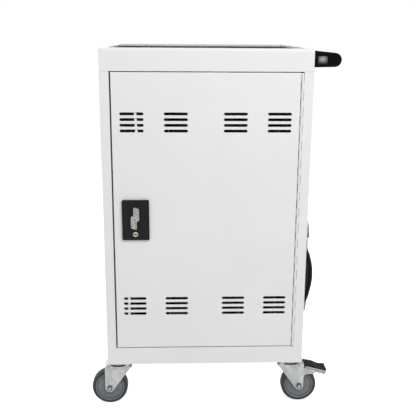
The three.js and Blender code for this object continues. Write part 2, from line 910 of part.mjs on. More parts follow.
// The lead from the gland to the hank: it leaves the nose level, sags a little and bends down
function leadCurve() {
  const start = hankCurve.getPoint(0);
  const noseEnd = front + glandFromFront - glandNoseLength;
  const level = bodyBottom + glandRise;
  const reach = halfWidth + glandReach;
  return new THREE.CatmullRomCurve3([
    new THREE.Vector3(reach, noseEnd - seam, level),
    new THREE.Vector3(reach, noseEnd - leadStraight, level),
    new THREE.Vector3(reach, noseEnd - leadRun, level - leadSag),
    new THREE.Vector3(start.x, start.y + 1.6 * leadBend, level + leadSag),
    new THREE.Vector3(start.x, start.y + 0.75 * leadBend, level + 0.75 * leadSag),
    new THREE.Vector3(start.x, start.y + 0.2 * leadBend, start.z + 0.45 * leadBend),
    new THREE.Vector3(start.x, start.y, start.z + leadStraight),
    new THREE.Vector3(start.x, start.y, start.z + seam),
  ], false, 'centripetal');
}

function cordGland() {
  const y = front + glandFromFront;
  const z = bodyBottom + glandRise;
  const wall = halfWidth + seam;
  return join(
    rodAlongX(glandStud, [halfWidth - 6 * sheet, wall + sheet], y + glandBlock / 2, z),
    block([wall, halfWidth + 2 * glandReach], [y, y + glandBlock], [z - glandBlock / 2, z + glandBlock / 2]),
    rodAlongY(glandNose, halfWidth + glandReach, [y - glandNoseLength, y + sheet], z),
  );
}

function cordPlug() {
  const end = hankCurve.getPoint(1);
  const neck = plugLength / 4;
  const bodyLow = -plugLength;
  const body = new THREE.LatheGeometry([
    new THREE.Vector2(0, -seam),
    new THREE.Vector2(cordRadius + pastFace, -seam),
    new THREE.Vector2(plugRadius / 2, -neck),
    new THREE.Vector2(plugRadius, -2 * neck),
    new THREE.Vector2(plugRadius, bodyLow),
    new THREE.Vector2(0, bodyLow),
  ].reverse(), 16).rotateX(Math.PI / 2);
  const root = bodyLow + pastFace;
  const blade = (y) => block(
    [-bladeWidth / 2, bladeWidth / 2],
    [y - bladeThickness / 2, y + bladeThickness / 2],
    [bodyLow - bladeLength, root],
  );
  const ground = rodAlongZ(groundRadius, groundOffset, 0, [bodyLow - bladeLength - groundExtra, root], 8);
  return join(body, blade(-bladeSpacing / 2), blade(bladeSpacing / 2), ground).translate(end.x, end.y, end.z);
}

function addCord(cart) {
  cart.add(piece('cord_gland', cordGland(), 'blackPlastic'));
  cart.add(piece('cord_lead', tube(leadCurve(), cordRadius, leadSides, leadSteps), 'blackRubber'));
  cart.add(piece('cord_hank', tube(hankCurve, cordRadius, hankSides, hankStepCount), 'blackRubber'));
  cart.add(piece('cord_plug', cordPlug(), 'blackRubber'));
}

// Casters, drawn about the swivel axis with z = 0 at the body's underside and the trail along +X
const raceBottom = -plateSheet - raceHeight;
const crownTop = raceBottom - seam;
const crownBottom = crownTop - crownHeight;
const axleDrop = wheelRadius - casterHeight;
const legInner = wheelWidth / 2 + legGap;
const legOuter = legInner + legThickness;
const forkRear = casterTrail + legEndRadius;
const padInner = forkRear + padGap;
const padSlope = Math.atan2(padInnerDrop - padTipDrop, padReach - padInner);
const padLength = Math.hypot(padInnerDrop - padTipDrop, padReach - padInner);

function casterPlate() {
  const [width, depth] = plateSize;
  const headTop = crownBottom - seam;
  return join(
    block([-width / 2, width / 2], [-depth / 2, depth / 2], [-plateSheet - seam, -seam]),
    rodAlongZ(raceRadius, 0, 0, [raceBottom, -plateSheet], 16),
    rodAlongZ(kingpinRadius, 0, 0, [headTop - sheet, -plateSheet], 8),
    rodAlongZ(kingpinHead, 0, 0, [headTop - 2 * sheet, headTop], 8),
  );
}

function forkLeg([y0, y1], braked) {
  const corner = { x: -legTop - casterTrail, z: crownBottom + crownHeight / 2 - axleDrop };
  const touch = tangentAngle(corner.x, corner.z, legEndRadius, 1);
  const shape = new THREE.Shape();
  shape.moveTo(legEndRadius, corner.z);
  shape.lineTo(corner.x, corner.z);
  shape.absarc(0, 0, legEndRadius, touch, 2 * Math.PI);
  if (braked) addBrakeArm(shape);
  return prismAlongY(shape, [y0, y1], 3).translate(casterTrail, 0, axleDrop);
}

// The arm that carries the brake's pivot, drawn from the axle's centre
function addBrakeArm(shape) {
  const x = pivotReach - casterTrail;
  const z = -pivotDrop - axleDrop;
  shape.lineTo(legEndRadius, z - 3 * armRadius);
  shape.quadraticCurveTo(legEndRadius, z - armRadius, legEndRadius + 2 * armRadius, z - armRadius);
  shape.absarc(x, z, armRadius, -Math.PI / 2, Math.PI / 2 + padSlope);
  const top = z + armRadius * Math.cos(padSlope);
  const back = x - armRadius * Math.sin(padSlope) - legEndRadius;
  shape.lineTo(legEndRadius, top - back * Math.tan(padSlope));
}

function casterFork(braked) {
  const crown = rodAlongZ(crownRadius, 0, 0, [crownBottom, crownTop], 20);
  const bridge = block(
    [-legTop, forkRear],
    [-legOuter, legOuter],
    [crownBottom, crownBottom + crownHeight / 2],
  );
  const across = [-legOuter - pastFace, legOuter + pastFace];
  const fork = cut(
    join(crown, bridge, forkLeg([-legOuter, -legInner], braked), forkLeg([legInner, legOuter], braked)),
    rodAlongZ(kingpinRadius + 2 * seam, 0, 0, [crownBottom - pastFace, crownTop + pastFace], 8),
    rodAlongY(axleRadius + 2 * seam, casterTrail, across, axleDrop, 8),
  );
  return braked ? cut(fork, rodAlongY(pivotRadius + 2 * seam, pivotReach, across, -pivotDrop, 8)) : fork;
}

function casterAxle() {
  const headInner = legOuter + seam;
  const headOuter = headInner + axleRadius;
  return join(
    rodAlongY(axleRadius, casterTrail, [-headOuter - sheet, headOuter + sheet], axleDrop, 8),
    rodAlongY(nutRadius, casterTrail, [-headOuter, -headInner], axleDrop, 6),
    rodAlongY(nutRadius, casterTrail, [headInner, headOuter], axleDrop, 6),
  );
}

// A ring turned about the axle from half of its outline, given as [radius, distance from the middle]
function wheelRing(halfOutline) {
  const facet = Math.PI / wheelSegments;
  const widen = 1 / Math.cos(facet);
  const one = halfOutline.map(([radius, side]) => new THREE.Vector2(radius * widen, side));
  const two = [...halfOutline].reverse().map(([radius, side]) => new THREE.Vector2(radius * widen, -side));
  const ring = new THREE.LatheGeometry([...two, ...one, two[0]], wheelSegments, facet);
  return ring.translate(casterTrail, 0, axleDrop);
}

function casterTyre() {
  const half = wheelWidth / 2;
  return wheelRing([
    [wheelRadius, half / 2],
    [wheelRadius - treadCrown, half - treadEdge],
    [wheelRadius - tyreShoulder, half],
    [hubRadius + seam, half - tyreDish],
  ]);
}

function casterHub() {
  const half = wheelWidth / 2;
  const boss = legInner - seam;
  return wheelRing([
    [hubRadius, half - hubSet],
    [hubRadius - hubRim, half - hubSet],
    [hubRadius - hubSlope, half - hubDish],
    [bossRoot, half - webSet],
    [bossEnd, boss],
    [axleRadius + 2 * seam, boss],
  ]);
}

// Brake lever and pad: a sloping pedal on a pivot between the fork's arms
// A layer of the pedal, drawn flat from its inner end and then tilted
function pedalLayer(below, thickness, halfWide, past = 0) {
  const layer = block([-past, padLength + past], [-halfWide, halfWide], [-below - thickness, -below]);
  return layer.rotateY(-padSlope).translate(padInner, 0, -padInnerDrop);
}

function brakePad() {
  return pedalLayer(0, padThickness, padHalfWidth);
}

function brakeLever() {
  const under = padThickness + seam;
  const plate = pedalLayer(under, leverSheet, padHalfWidth);
  const skirts = cut(
    pedalLayer(under, leverSkirt, padHalfWidth),
    pedalLayer(under, leverSkirt + pastFace, legOuter + seam, pastFace),
  );
  const innerHalf = legInner - 2 * seam;
  const shoe = THREE.MathUtils.degToRad(shoeAngle);
  const web = cut(
    block(
      [pivotReach - leverBoss, pivotReach + leverBoss],
      [-innerHalf, innerHalf],
      [-pivotDrop, 0],
    ),
    pedalLayer(-casterHeight, casterHeight + under + seam, 2 * padHalfWidth, pastFace),
  );
  return join(
    plate,
    skirts,
    web,
    rodAlongY(leverBoss, pivotReach, [-innerHalf, innerHalf], -pivotDrop),
    rodAlongY(pivotRadius, pivotReach, [-legOuter, legOuter], -pivotDrop, 8),
    rodAlongY(
      shoeRadius,
      pivotReach + shoeReach * Math.cos(shoe),
      [-innerHalf, innerHalf],
      -pivotDrop + shoeReach * Math.sin(shoe),
      8,
    ),
  );
}

function addCaster(cart, place, sideX, sideY, braked) {
  const caster = new THREE.Group();
  caster.position.set(sideX * (halfWidth - casterInset), sideY * (rear - casterFromFace), bodyBottom);
  caster.rotation.z = sideX > 0 ? 0 : Math.PI;
  caster.add(piece(`${place}_caster_plate`, casterPlate(), 'zinc'));
  caster.add(piece(`${place}_caster_fork`, casterFork(braked), 'zinc'));
  caster.add(piece(`${place}_caster_axle`, casterAxle(), 'zinc'));
  caster.add(piece(`${place}_caster_hub`, casterHub(), 'greyHub'));
  caster.add(piece(`${place}_caster_tyre`, casterTyre(), 'greyTyre'));
  if (braked) {
    caster.add(piece(`${place}_brake_lever`, brakeLever(), 'zinc'));
    caster.add(piece(`${place}_brake_pad`, brakePad(), 'blackRubber'));
  }
  cart.add(caster);
}

// Assembly
function addShell(cart) {
  cart.add(piece('top_cover', topCover(), 'whiteSteel'));
  cart.add(piece('top_mat', topMat(), 'blackRubber'));
  cart.add(piece('left_side_panel', sidePanel(-1), 'whiteSteel'));
  cart.add(piece('right_side_panel', sidePanel(1), 'whiteSteel'));
  cart.add(piece('base_pan', basePan(), 'whiteSteel'));
  cart.add(piece('partition_panel', partitionPanel(), 'whiteSteel'));
  for (const [place, level] of Object.entries(shelfLevels)) {
    cart.add(piece(`${place}_shelf`, shelf(level), 'whiteSteel'));
    cart.add(piece(`${place}_power_strip`, powerStrip(level), 'blackPlastic'));
  }
}

function addHinge(group, place, count) {
  group.add(piece(`${place}_hinge_frame_leaf`, hingeLeafSolid(1, count), 'whiteSteel'));
  group.add(piece(`${place}_hinge_door_leaf`, hingeLeafSolid(-1, count), 'whiteSteel'));
  group.add(piece(`${place}_hinge_pin`, hingePinSolid(), 'zinc'));
}

function frontFace() {
  const group = new THREE.Group();
  group.position.y = front;
  const sillSlot = guideSlot(lowerGuideX, [sillTop - sheet - pastFace, sillTop + pastFace]);
  group.add(piece('front_frame', doorFrame([sillSlot]), 'whiteSteel'));
  group.add(piece('front_door', doorPan(frontDoorHoles()), 'whiteSteel'));
  addHinge(group, 'front', frontKnuckles);
  group.add(piece('lock_plate', lockPlate(), 'blackPlastic'));
  group.add(piece('turn_knob', turnKnob(), 'satinSteel'));
  group.add(piece('lock_cam', lockCam(), 'zinc'));
  group.add(piece('key_cylinder', keyCylinder(), 'brass'));
  group.add(lockRod('upper_lock_rod', 1, upperGuideShift, doorTop - sheet));
  group.add(lockRod('lower_lock_rod', -1, lowerGuideShift, doorBottom + sheet));
  return group;
}

function rearFace() {
  const group = new THREE.Group();
  group.position.y = rear;
  group.rotation.z = Math.PI;
  const lockX = doorLeft + rearLockFromEdge;
  const lockHole = rodAlongY(rearLockRadius + seam, lockX, [-pastFace, sheet + pastFace], doorMiddle, 16);
  group.add(piece('rear_frame', doorFrame([]), 'whiteSteel'));
  group.add(piece('rear_door', doorPan([lockHole]), 'whiteSteel'));
  addHinge(group, 'rear', rearKnuckles);
  group.add(piece('rear_lock', rearLock(), 'satinSteel'));
  return group;
}

// The origin goes on the floor under the middle of the cart's box, measured without the cord
function centreOnFloor(cart) {
  cart.updateMatrixWorld(true);
  const bounds = new THREE.Box3();
  for (const child of cart.children) {
    if (!child.name.startsWith('cord_')) bounds.expandByObject(child, true);
  }
  const centre = bounds.getCenter(new THREE.Vector3());
  cart.position.set(-centre.x, -centre.y, -bounds.min.z);
}

function chargingCart() {
  const cart = new THREE.Group();
  addShell(cart);
  cart.add(frontFace());
  cart.add(rearFace());
  addHandle(cart);
  addHooks(cart);
  addCord(cart);
  addCaster(cart, 'front_left', -1, -1, false);
  addCaster(cart, 'front_right', 1, -1, true);
  addCaster(cart, 'rear_left', -1, 1, false);
  addCaster(cart, 'rear_right', 1, 1, true);
  centreOnFloor(cart);
  return cart;
}

export default chargingCart();
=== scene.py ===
"""Looks of the laptop charging cart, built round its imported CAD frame.

Everything is in the CAD's frame: +Z up, the front door towards -Y. Shapes are drawn in millimetres and
scaled to metres when they become pieces. A profile is a row of (radius, along) points, and an outline is
a row of (x, z) points.
"""

import json
import math

import bmesh
import bpy
from mathutils import Matrix, Vector


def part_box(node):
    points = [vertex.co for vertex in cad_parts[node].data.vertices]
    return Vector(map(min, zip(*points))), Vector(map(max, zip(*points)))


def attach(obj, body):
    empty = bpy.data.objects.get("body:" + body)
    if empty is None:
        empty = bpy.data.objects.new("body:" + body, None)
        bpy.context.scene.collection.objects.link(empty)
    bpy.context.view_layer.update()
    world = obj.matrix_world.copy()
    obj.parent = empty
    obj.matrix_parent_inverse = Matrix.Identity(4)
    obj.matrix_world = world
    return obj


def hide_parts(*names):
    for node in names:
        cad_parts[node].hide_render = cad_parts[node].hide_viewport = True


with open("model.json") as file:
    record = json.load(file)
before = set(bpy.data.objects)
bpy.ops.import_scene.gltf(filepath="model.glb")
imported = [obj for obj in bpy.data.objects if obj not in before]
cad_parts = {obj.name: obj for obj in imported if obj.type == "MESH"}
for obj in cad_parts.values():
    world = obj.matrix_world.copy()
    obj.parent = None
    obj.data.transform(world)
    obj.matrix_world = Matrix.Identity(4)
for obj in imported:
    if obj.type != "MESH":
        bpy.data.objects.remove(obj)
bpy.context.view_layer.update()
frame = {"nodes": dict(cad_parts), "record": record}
nodes = frame["nodes"]

MM = 0.001

SMALL_SIDES = 20
move = Matrix.Translation

# Turns of a shape drawn along Z, and of a plate drawn facing the front
ALONG_X = Matrix.Rotation(math.pi / 2, 4, "Y")
ALONG_Y = Matrix.Rotation(-math.pi / 2, 4, "X")
FORWARD = Matrix.Rotation(math.pi / 2, 4, "X")
UPSIDE_DOWN = Matrix.Rotation(math.pi, 4, "X")
SIDEWAYS = Matrix(((0, 1, 0, 0), (1, 0, 0, 0), (0, 0, 1, 0), (0, 0, 0, 1)))
LYING = Matrix(((1, 0, 0, 0), (0, 0, 1, 0), (0, 1, 0, 0), (0, 0, 0, 1)))

# The photograph's view: lens, and the camera's place and its turns in degrees
LENS = 59.898
SENSOR = 36.0
CAMERA_PLACE = (-82.04, -2019.7, 1033.1)
CAMERA_TILT = 14.357
CAMERA_YAW = 2.282
CAMERA_ROLL = 0.382

# The cabinet's middle, half sizes and faces, as in the CAD, and the gap between faces that meet
MIDDLE_X = -16.5435
MIDDLE_Y = 6.2
HALF_WIDTH = 270.0
HALF_DEPTH = 265.0
BODY_BOTTOM = 135.5
BODY_TOP = 991.5
FRONT_Y = MIDDLE_Y - HALF_DEPTH
REAR_Y = MIDDLE_Y + HALF_DEPTH
RIGHT_X = MIDDLE_X + HALF_WIDTH
SEAM = 0.3
FACES = {
    "front": move((MIDDLE_X, FRONT_Y, 0.0)),
    "rear": move((MIDDLE_X, REAR_Y, 0.0)) @ Matrix.Rotation(math.pi, 4, "Z"),
}

# The doors, as in the CAD: across from the cabinet's middle, up from the floor and in from the outer face
DOOR_LEFT = -242.0
DOOR_RIGHT = 238.0
DOOR_BOTTOM = 185.9
DOOR_TOP = 932.1
DOOR_MIDDLE_X = (DOOR_LEFT + DOOR_RIGHT) / 2
DOOR_MIDDLE_Z = (DOOR_BOTTOM + DOOR_TOP) / 2
DOOR_DEPTH = 22.0
DOOR_SHEET = 1.2
DOOR_FOLD = 1.8
FOLD_STEPS = 4
VENT_LENGTH = 61.0
VENT_HEIGHT = 7.4
VENT_PITCH = 14.5
VENT_ROWS = 4
VENT_COLUMNS = (-189.0, -76.4, 76.4, 189.0)
VENT_OFFSET = 249.5
VENT_DROP = 1.8
VENT_STEPS = 8
REAR_LOCK_X = -216.0
REAR_LOCK_HOLE = 8.3

# The piano hinges, as in the CAD, with chamfered knuckles and the tabs that carry them
HINGE_X = 242.0
HINGE_PROUD = 1.0
HINGE_KNUCKLES = {"front": 34, "rear": 17}
KNUCKLE_GAP = 0.6
KNUCKLE_CHAMFER = 0.4
BARREL_RADIUS = 2.9
BARREL_BORE = 1.7
LEAF_FACE = 3.7
LEAF_SHEET = 1.2
LEAF_START = 9.0
LEAF_DEPTH = 18.0
LEAF_INSET = 0.5
FRAME_TAB = 0.4
DOOR_TAB = 1.2
DOOR_TAB_START = 0.6

# The lock, as in the CAD: knob, key, their holes, and the rods' slots in the door's edges
KNOB_X = -186.0
KNOB_Z = 557.5
KNOB_HOLE = 5.3
KEY_Z = 512.5
KEY_RADIUS = 7.0
KEY_HOLE = 7.3
UPPER_ROD_X = KNOB_X + 1.0
LOWER_ROD_X = KNOB_X - 25.0
ROD_SLOT_WIDTH = 16.0
ROD_SLOT_DEPTHS = (11.6, 19.2)

# The lock plate's raised border and sunk field
LOCK_BORDER = 2.6
LOCK_CORNER = 3.5
LOCK_FIELD_CORNER = 2.0
LOCK_FIELD_DEPTH = 1.5
LOCK_EDGE = 0.5

# The knob: corners (x, z, reach) of one arm and of the sunk field in it; the other arm is its half turn
KNOB_THICKNESS = 12.0
KNOB_SPINDLE = 5.0
KNOB_SIDES = 32
KNOB_DISH = 1.4
KNOB_EDGE = 0.6
KNOB_HALF = (
    (10.9, -4.4, 1.5), (10.9, 25.5, 3.2), (1.2, 29.2, 3.0), (-4.2, 29.2, 1.8), (-4.2, 9.4, 1.6),
)
KNOB_PANEL = (
    (8.0, 3.0, 2.4), (8.0, 22.8, 3.0), (3.0, 25.4, 2.2), (-1.4, 25.4, 2.0), (-1.4, 6.0, 2.4),
)

# The key's face: the ring's profile is (inset from the key's radius, depth)
KEY_HEAD = 5.9
KEY_FACE_INSET = 1.4
KEY_FACE_SUNK = 0.5
KEY_RING = ((1.3, KEY_HEAD), (1.3, 0.5), (0.9, 0.0), (0.5, 0.0), (0.0, 0.6), (0.0, KEY_HEAD))
KEY_SIDES = 40
KEYWAY = ((-2.0, 2.0), (-4.8, 4.8))
KEYWAY_CORNER = 1.0
KEYWAY_STEPS = 3
KEYWAY_TURN = math.radians(-76.0)

# The lock rods, as in the CAD: place, where each is pinned and guided across, and the level of its guide
ROD_DEPTH = 15.4
ROD_RADIUS = 3.0
ROD_LINES = (
    ("upper", KNOB_X + 18.0, KNOB_X - 1.0, DOOR_TOP - DOOR_SHEET),
    ("lower", KNOB_X - 18.0, KNOB_X - 23.0, DOOR_BOTTOM + DOOR_SHEET),
)

# The straps on the lock rods and the clips that hold them
STRAP_WIDTH = 6.6
STRAP_DEPTHS = (2.2, 3.8)
STRAP_ENDS = (90.0, 24.0)
STRAP_CORNER = 2.0
STRAP_STEPS = 4
STRAP_EDGE = 0.4
CLIP_LENGTH = 12.0
CLIP_INSET = 4.0
CLIP_MARGIN = 0.4
CLIP_OVERLAP = 0.2
CLIP_COVER = 0.6

# The handle: its axis as in the CAD, the domed plates on its ends and the grip's grooves (inset, along)
HANDLE_AXIS_X = RIGHT_X + 64.6
HANDLE_AXIS_Z = BODY_TOP - 29.5
CAP_WIDTH = 25.4
CAP_HEIGHT = 19.4
CAP_RISE = 2.6
CAP_LIP = 0.1
CAP_SEAT = 0.5
CAP_STEPS = 6
CAP_EDGE = 0.2
GRIP_RADIUS = 14.0
GRIP_CHAMFER = 1.0
GRIP_PLAIN = 20.0
GRIP_PITCH = 9.0
GRIP_GROOVE = ((0.0, 0.0), (0.6, 0.6), (0.6, 1.6), (0.0, 2.2))
GRIP_SIDES = 48

# The tray's mat: its margin, and where each groove goes down, comes up and ends
MAT_SUNK = 0.4
MAT_MARGIN = 6.0
MAT_PITCH = 6.0
MAT_GROOVE = (0.6, 2.4, 3.0)
MAT_GROOVE_DEPTH = 0.9
MAT_SHARP = 25.0

# The outlet faces in the power strips: slots as (x, z) limits, and the earth hole's x, z, radius and sides
OUTLETS = 10
OUTLET_HALF = 14.0
OUTLET_CORNER = 4.0
OUTLET_SHEET = 1.8
OUTLET_SUNK = 2.3
OUTLET_SLOTS = (((-7.5, -5.2), (-1.5, 6.5)), ((5.2, 7.5), (-1.5, 6.5)))
EARTH_HOLE = (0.0, -7.0, 2.6, 16)

# Screws in the cord hooks: the head's profile is (share of its radius, share of its height)
HOOK_SHEET = 2.0
HOOK_SCREWS = (8.0, -14.0)
SCREW_RADIUS = 4.2
SCREW_HEIGHT = 2.4
SCREW_HEAD = (
    (0.0, 0.4), (0.4, 0.4), (0.42, 0.94), (0.55, 1.0), (0.86, 0.72), (1.0, 0.24), (1.0, 0.0), (0.0, 0.0),
)

# The casters: plate bolts, the bead round the swivel, and the domes on the axle's ends
CASTERS = ("front_left", "front_right", "rear_left", "rear_right")
BRAKED = ("front_right", "rear_right")
PLATE_SHEET = 3.0
BOLT_X = 24.0
BOLT_Y = 34.0
BOLT_HEAD = ((0.0, 4.4), (5.6, 4.4), (6.5, 3.7), (6.5, 0.0), (0.0, 0.0))
BOLT_SIDES = 6
RACE_BEAD = ((29.8, -6.6), (32.6, -6.4), (33.6, -5.2), (33.6, -4.2), (32.6, -3.0), (29.8, -2.8))
RACE_SIDES = 72
AXLE_DOME = ((0.0, 1.4), (1.6, 1.2), (2.8, 0.6), (3.4, -0.2), (0.0, -0.2))

# The wheels: profiles of one half, and the parts as (name, half profile, look, slot, nodes replaced)
TREAD = (
    (50.0, 8.0), (49.8, 10.5), (49.2, 12.6), (48.2, 14.4), (46.8, 15.6), (45.0, 16.0), (43.0, 15.8),
    (41.6, 15.0), (41.0, 13.0),
)
RIM = ((40.8, 12.0), (40.6, 14.8), (40.0, 15.4), (38.8, 15.4), (38.2, 14.8), (38.0, 12.0))
HUB = (
    (37.8, 11.4), (36.4, 11.4), (35.4, 12.6), (34.4, 13.4), (33.0, 13.6), (20.0, 12.0), (13.4, 12.0),
    (12.0, 12.8), (11.0, 18.4), (10.4, 18.7), (5.7, 18.7),
)
WHEEL_PARTS = (
    ("tyre", TREAD, "grey_tread", "grey_tread", ("tyre",)),
    ("rim", RIM, "rim_plastic", "grey_plastic", ()),
    ("hub", HUB, "grey_plastic", "grey_plastic", ("hub",)),
)
WHEEL_SIDES = 96
WHEEL_SHARP = 28.0

# The brake pedals: the pad's heel and tip as in the CAD, its upper outline, and the lever's side lips
PAD_HEEL = (41.7, -24.5)
PAD_TIP = (104.0, -41.0)
PAD_THICKNESS = 4.0
PAD_HALF_WIDTH = 19.0
PAD_EDGE = 0.7
PAD_TOP = (
    (0.0, 2.8), (1.2, 4.2), (6.4, 4.2), (7.4, 2.9), (8.6, 2.9), (9.6, 4.6), (14.8, 4.8), (15.8, 3.4),
    (17.0, 3.4), (18.0, 5.0), (24.0, 5.0), (30.0, 4.2), (35.0, 3.0), (40.0, 2.2), (46.0, 2.0), (52.0, 2.6),
    (58.0, 4.4), (62.0, 5.2), (64.4, 3.8),
)
LIP_SHEET = 0.8
LIP_ENDS = (3.0, 64.2)
LIP_LEVELS = (-5.4, 0.0)
LIP_CORNER = 1.4

# The cord's route, as in the CAD; shares are of one turn, and the lead joins the hank at one of its steps
CORD_RADIUS = 4.5
CORD_GAP = 0.6
CORD_PITCH = 2 * CORD_RADIUS + CORD_GAP
CORD_ROUNDNESS = 5
HANK_Y = FRONT_Y + 200.0
HANK_Z = BODY_BOTTOM + 214.5
HANK_RUN = 140.0
HANK_RADIUS = 30.0
HANK_TURNS = 3
HANK_LOOPS = 2 * HANK_TURNS - 1
HANK_START = RIGHT_X + 2 * CORD_GAP + CORD_RADIUS
STEPS_PER_LOOP = 72
HALF_RUN_SHARE = 1 / 12
BEND_SHARE = 1 / 3
TAIL_DROP = 62.0
TAIL_STRAIGHT = 11.0
TAIL_SHIFT = 20.0
TAIL_STEPS = 18
GLAND_Y = FRONT_Y + 400.0
GLAND_Z = BODY_BOTTOM + 244.5
GLAND_REACH = 13.0
GLAND_NOSE = 24.0
LEAD_STRAIGHT = 12.0
LEAD_SAG = 5.0
LEAD_BEND = 38.0
LEAD_STEPS = 24
LEAD_JOIN = 2

# How the hank's runs bow out from the wall: the bow, its growth per layer, its skew and where it sets in
HANK_BOW = 13.0
HANK_FAN = 1.6
HANK_SLUMP = 0.95
HANK_SETTLE = 24.0

# The plug: neck ribs (inset, along), the body below them, two blades and a round pin
PLUG_RADIUS = 13.0
PLUG_LENGTH = 44.0
PLUG_SIDES = 32
PLUG_X = RIGHT_X + PLUG_RADIUS + 2 * CORD_GAP
NECK_RIBS = 5
NECK_PITCH = -4.0
NECK_RADIUS = 5.6
NECK_FLARE = 0.5
NECK_RIB = ((0.0, 0.0), (0.0, -2.4), (0.6, -2.6))
PLUG_BODY = (
    (8.4, -22.0), (11.4, -24.5), (12.6, -27.0), (13.0, -31.0), (12.2, -34.0), (12.2, -37.0), (13.0, -39.5),
    (13.0, -42.5), (12.2, -PLUG_LENGTH),
)
BLADE_Y = 6.0
BLADE_HALF_WIDTH = 3.0
BLADE_HALF_SHEET = 0.75
BLADE_REACH = 16.0
BLADE_ROOT = 1.0
BLADE_EDGE = 0.3
PIN_X = 7.0
PIN_PROFILE = ((0.0, 1.0), (2.4, 1.0), (2.4, -17.4), (1.6, -18.7), (0.0, -19.0))

# The gland's block and its tapered nose, with ribs (inset, along)
GLAND_EDGE = 2.0
GLAND_EDGE_STEPS = 3
NOSE_BASE = 7.5
NOSE_TIP = 5.4
NOSE_RIBS = 6
NOSE_START = 1.5
NOSE_PITCH = 3.6
NOSE_RADIUS = 7.4
NOSE_TAPER = -0.32
NOSE_RIB = ((0.0, 0.0), (0.0, 2.2), (0.9, 2.4), (0.9, 3.4))
NOSE_SIDES = 28

# How far each CAD node's edges are softened, from which angle, and how close points are that become one
EDGE_WIDTHS = {
    "top_cover": 0.5, "front_frame": 0.5, "rear_frame": 0.5,
    "left_side_panel": 0.35, "right_side_panel": 0.35, "base_pan": 0.35, "partition_panel": 0.3,
    "lower_shelf": 0.4, "upper_shelf": 0.4, "lower_power_strip": 0.8, "upper_power_strip": 0.8,
    "lock_cam": 0.4, "rear_lock": 0.5,
    "handle_front_bracket": 1.6, "handle_rear_bracket": 1.6,
    "upper_cord_hook": 0.6, "lower_cord_hook": 0.6,
    **{f"{place}_caster_{part}": 0.6 for place in CASTERS for part in ("plate", "fork", "axle")},
    **{f"{place}_brake_lever": 0.4 for place in BRAKED},
}
BEVEL_ANGLE = math.radians(30.0)
WELD_REACH = 0.01
JOIN_REACH = 0.001

# Materials: the detail of the clouds and the grain, and the part of a noise that is used
CLOUD_DETAIL = 5.0
GRAIN_DETAIL = 3.0
NOISE_RANGE = (0.3, 0.7)
EVEN = (1.0, 1.0, 1.0)
ACROSS_AND_UP = (1.0, 0.0, 1.0)
WHITE = (1.0, 1.0, 1.0, 1.0)

# Stage and light: lamps are (name, place, target, size, power), in metres and watts
WORLD_LIGHT = 0.33
FLOOR_HALF = 12.0
FLOOR_COLOUR = (0.9, 0.9, 0.9, 1.0)
FLOOR_GLOW = 0.70
LAMPS = (
    ("key", (1.0, -2.0, 2.6), (0.0, 0.0, 0.9), (1.6, 1.2), 51.0),
    ("fill", (-1.7, -1.9, 2.3), (0.0, 0.0, 0.8), (1.6, 1.6), 9.5),
    ("back", (-0.6, 2.6, 2.2), (0.0, 0.2, 0.6), (2.0, 1.4), 34.0),
    ("right", (2.8, 0.9, 1.9), (0.25, 0.0, 0.5), (1.8, 1.4), 10.0),
    ("left", (-2.8, 0.9, 1.9), (-0.25, 0.0, 0.5), (1.8, 1.4), 10.0),
)


# Small helpers
def new_object(name, data):
    """A new object in the scene."""
    obj = bpy.data.objects.new(name, data)
    bpy.context.scene.collection.objects.link(obj)
    return obj


def box_of(node):
    """A CAD node's lowest and highest corner, in millimetres."""
    low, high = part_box(node)
    return low / MM, high / MM


def middle_of(node):
    low, high = box_of(node)
    return (low + high) / 2


def about(middle, half):
    """The limits half to each side of a middle."""
    return middle - half, middle + half


def shrunk(limits, inset):
    """Limits moved towards each other."""
    return limits[0] + inset, limits[1] - inset


def held(part):
    """A share, held between 0 and 1."""
    return min(max(part, 0.0), 1.0)


def eased(part):
    """A smooth rise from 0 to 1, held at both ends."""
    part = held(part)
    return part * part * (3 - 2 * part)


# Camera
def add_camera():
    data = bpy.data.cameras.new("camera")
    data.lens = LENS
    data.sensor_width = SENSOR
    camera = new_object("camera", data)
    tilt, yaw, roll = (math.radians(a) for a in (CAMERA_TILT, CAMERA_YAW, CAMERA_ROLL))
    ahead = Vector((math.sin(yaw) * math.cos(tilt), math.cos(yaw) * math.cos(tilt), -math.sin(tilt)))
    level = Vector((math.cos(yaw), -math.sin(yaw), 0.0))
    upright = level.cross(ahead)
    right = level * math.cos(roll) + upright * math.sin(roll)
    up = upright * math.cos(roll) - level * math.sin(roll)
    turn = Matrix((right, up, -ahead)).transposed().to_4x4()
    camera.matrix_world = move(Vector(CAMERA_PLACE) * MM) @ turn
    bpy.context.scene.camera = camera


# Materials
def set_inputs(tree, node, inputs):
    """Sets a node's inputs to values, or links them to other nodes' outputs."""
    for name, value in inputs.items():
        if isinstance(value, bpy.types.NodeSocket):
            tree.links.new(value, node.inputs[name])
        else:
            node.inputs[name].default_value = value


def add_node(tree, kind, inputs, **settings):
    node = tree.nodes.new(f"ShaderNode{kind}")
    for name, value in settings.items():
        setattr(node, name, value)
    set_inputs(tree, node, inputs)
    return node.outputs


def new_material(name, metallic=0.0, specular=0.5):
    material = bpy.data.materials.new(name)
    material.use_nodes = True
    tree = material.node_tree
    shader = tree.nodes["Principled BSDF"]
    set_inputs(tree, shader, {"Metallic": metallic, "Specular IOR Level": specular})
    return material, tree, shader


def noise(tree, scale, detail, stretch):
    """A noise in the piece's own metres, stretched along the axes given."""
    place = add_node(tree, "TexCoord", {})["Object"]
    mapped = add_node(tree, "Mapping", {"Vector": place, "Scale": stretch})["Vector"]
    return add_node(tree, "TexNoise", {"Vector": mapped, "Scale": scale, "Detail": detail})["Fac"]


def spread(tree, value, low, high):
    """A noise's used part mapped to low..high."""
    limits = {"From Min": NOISE_RANGE[0], "From Max": NOISE_RANGE[1], "To Min": low, "To Max": high}
    return add_node(tree, "MapRange", {"Value": value, **limits})["Result"]


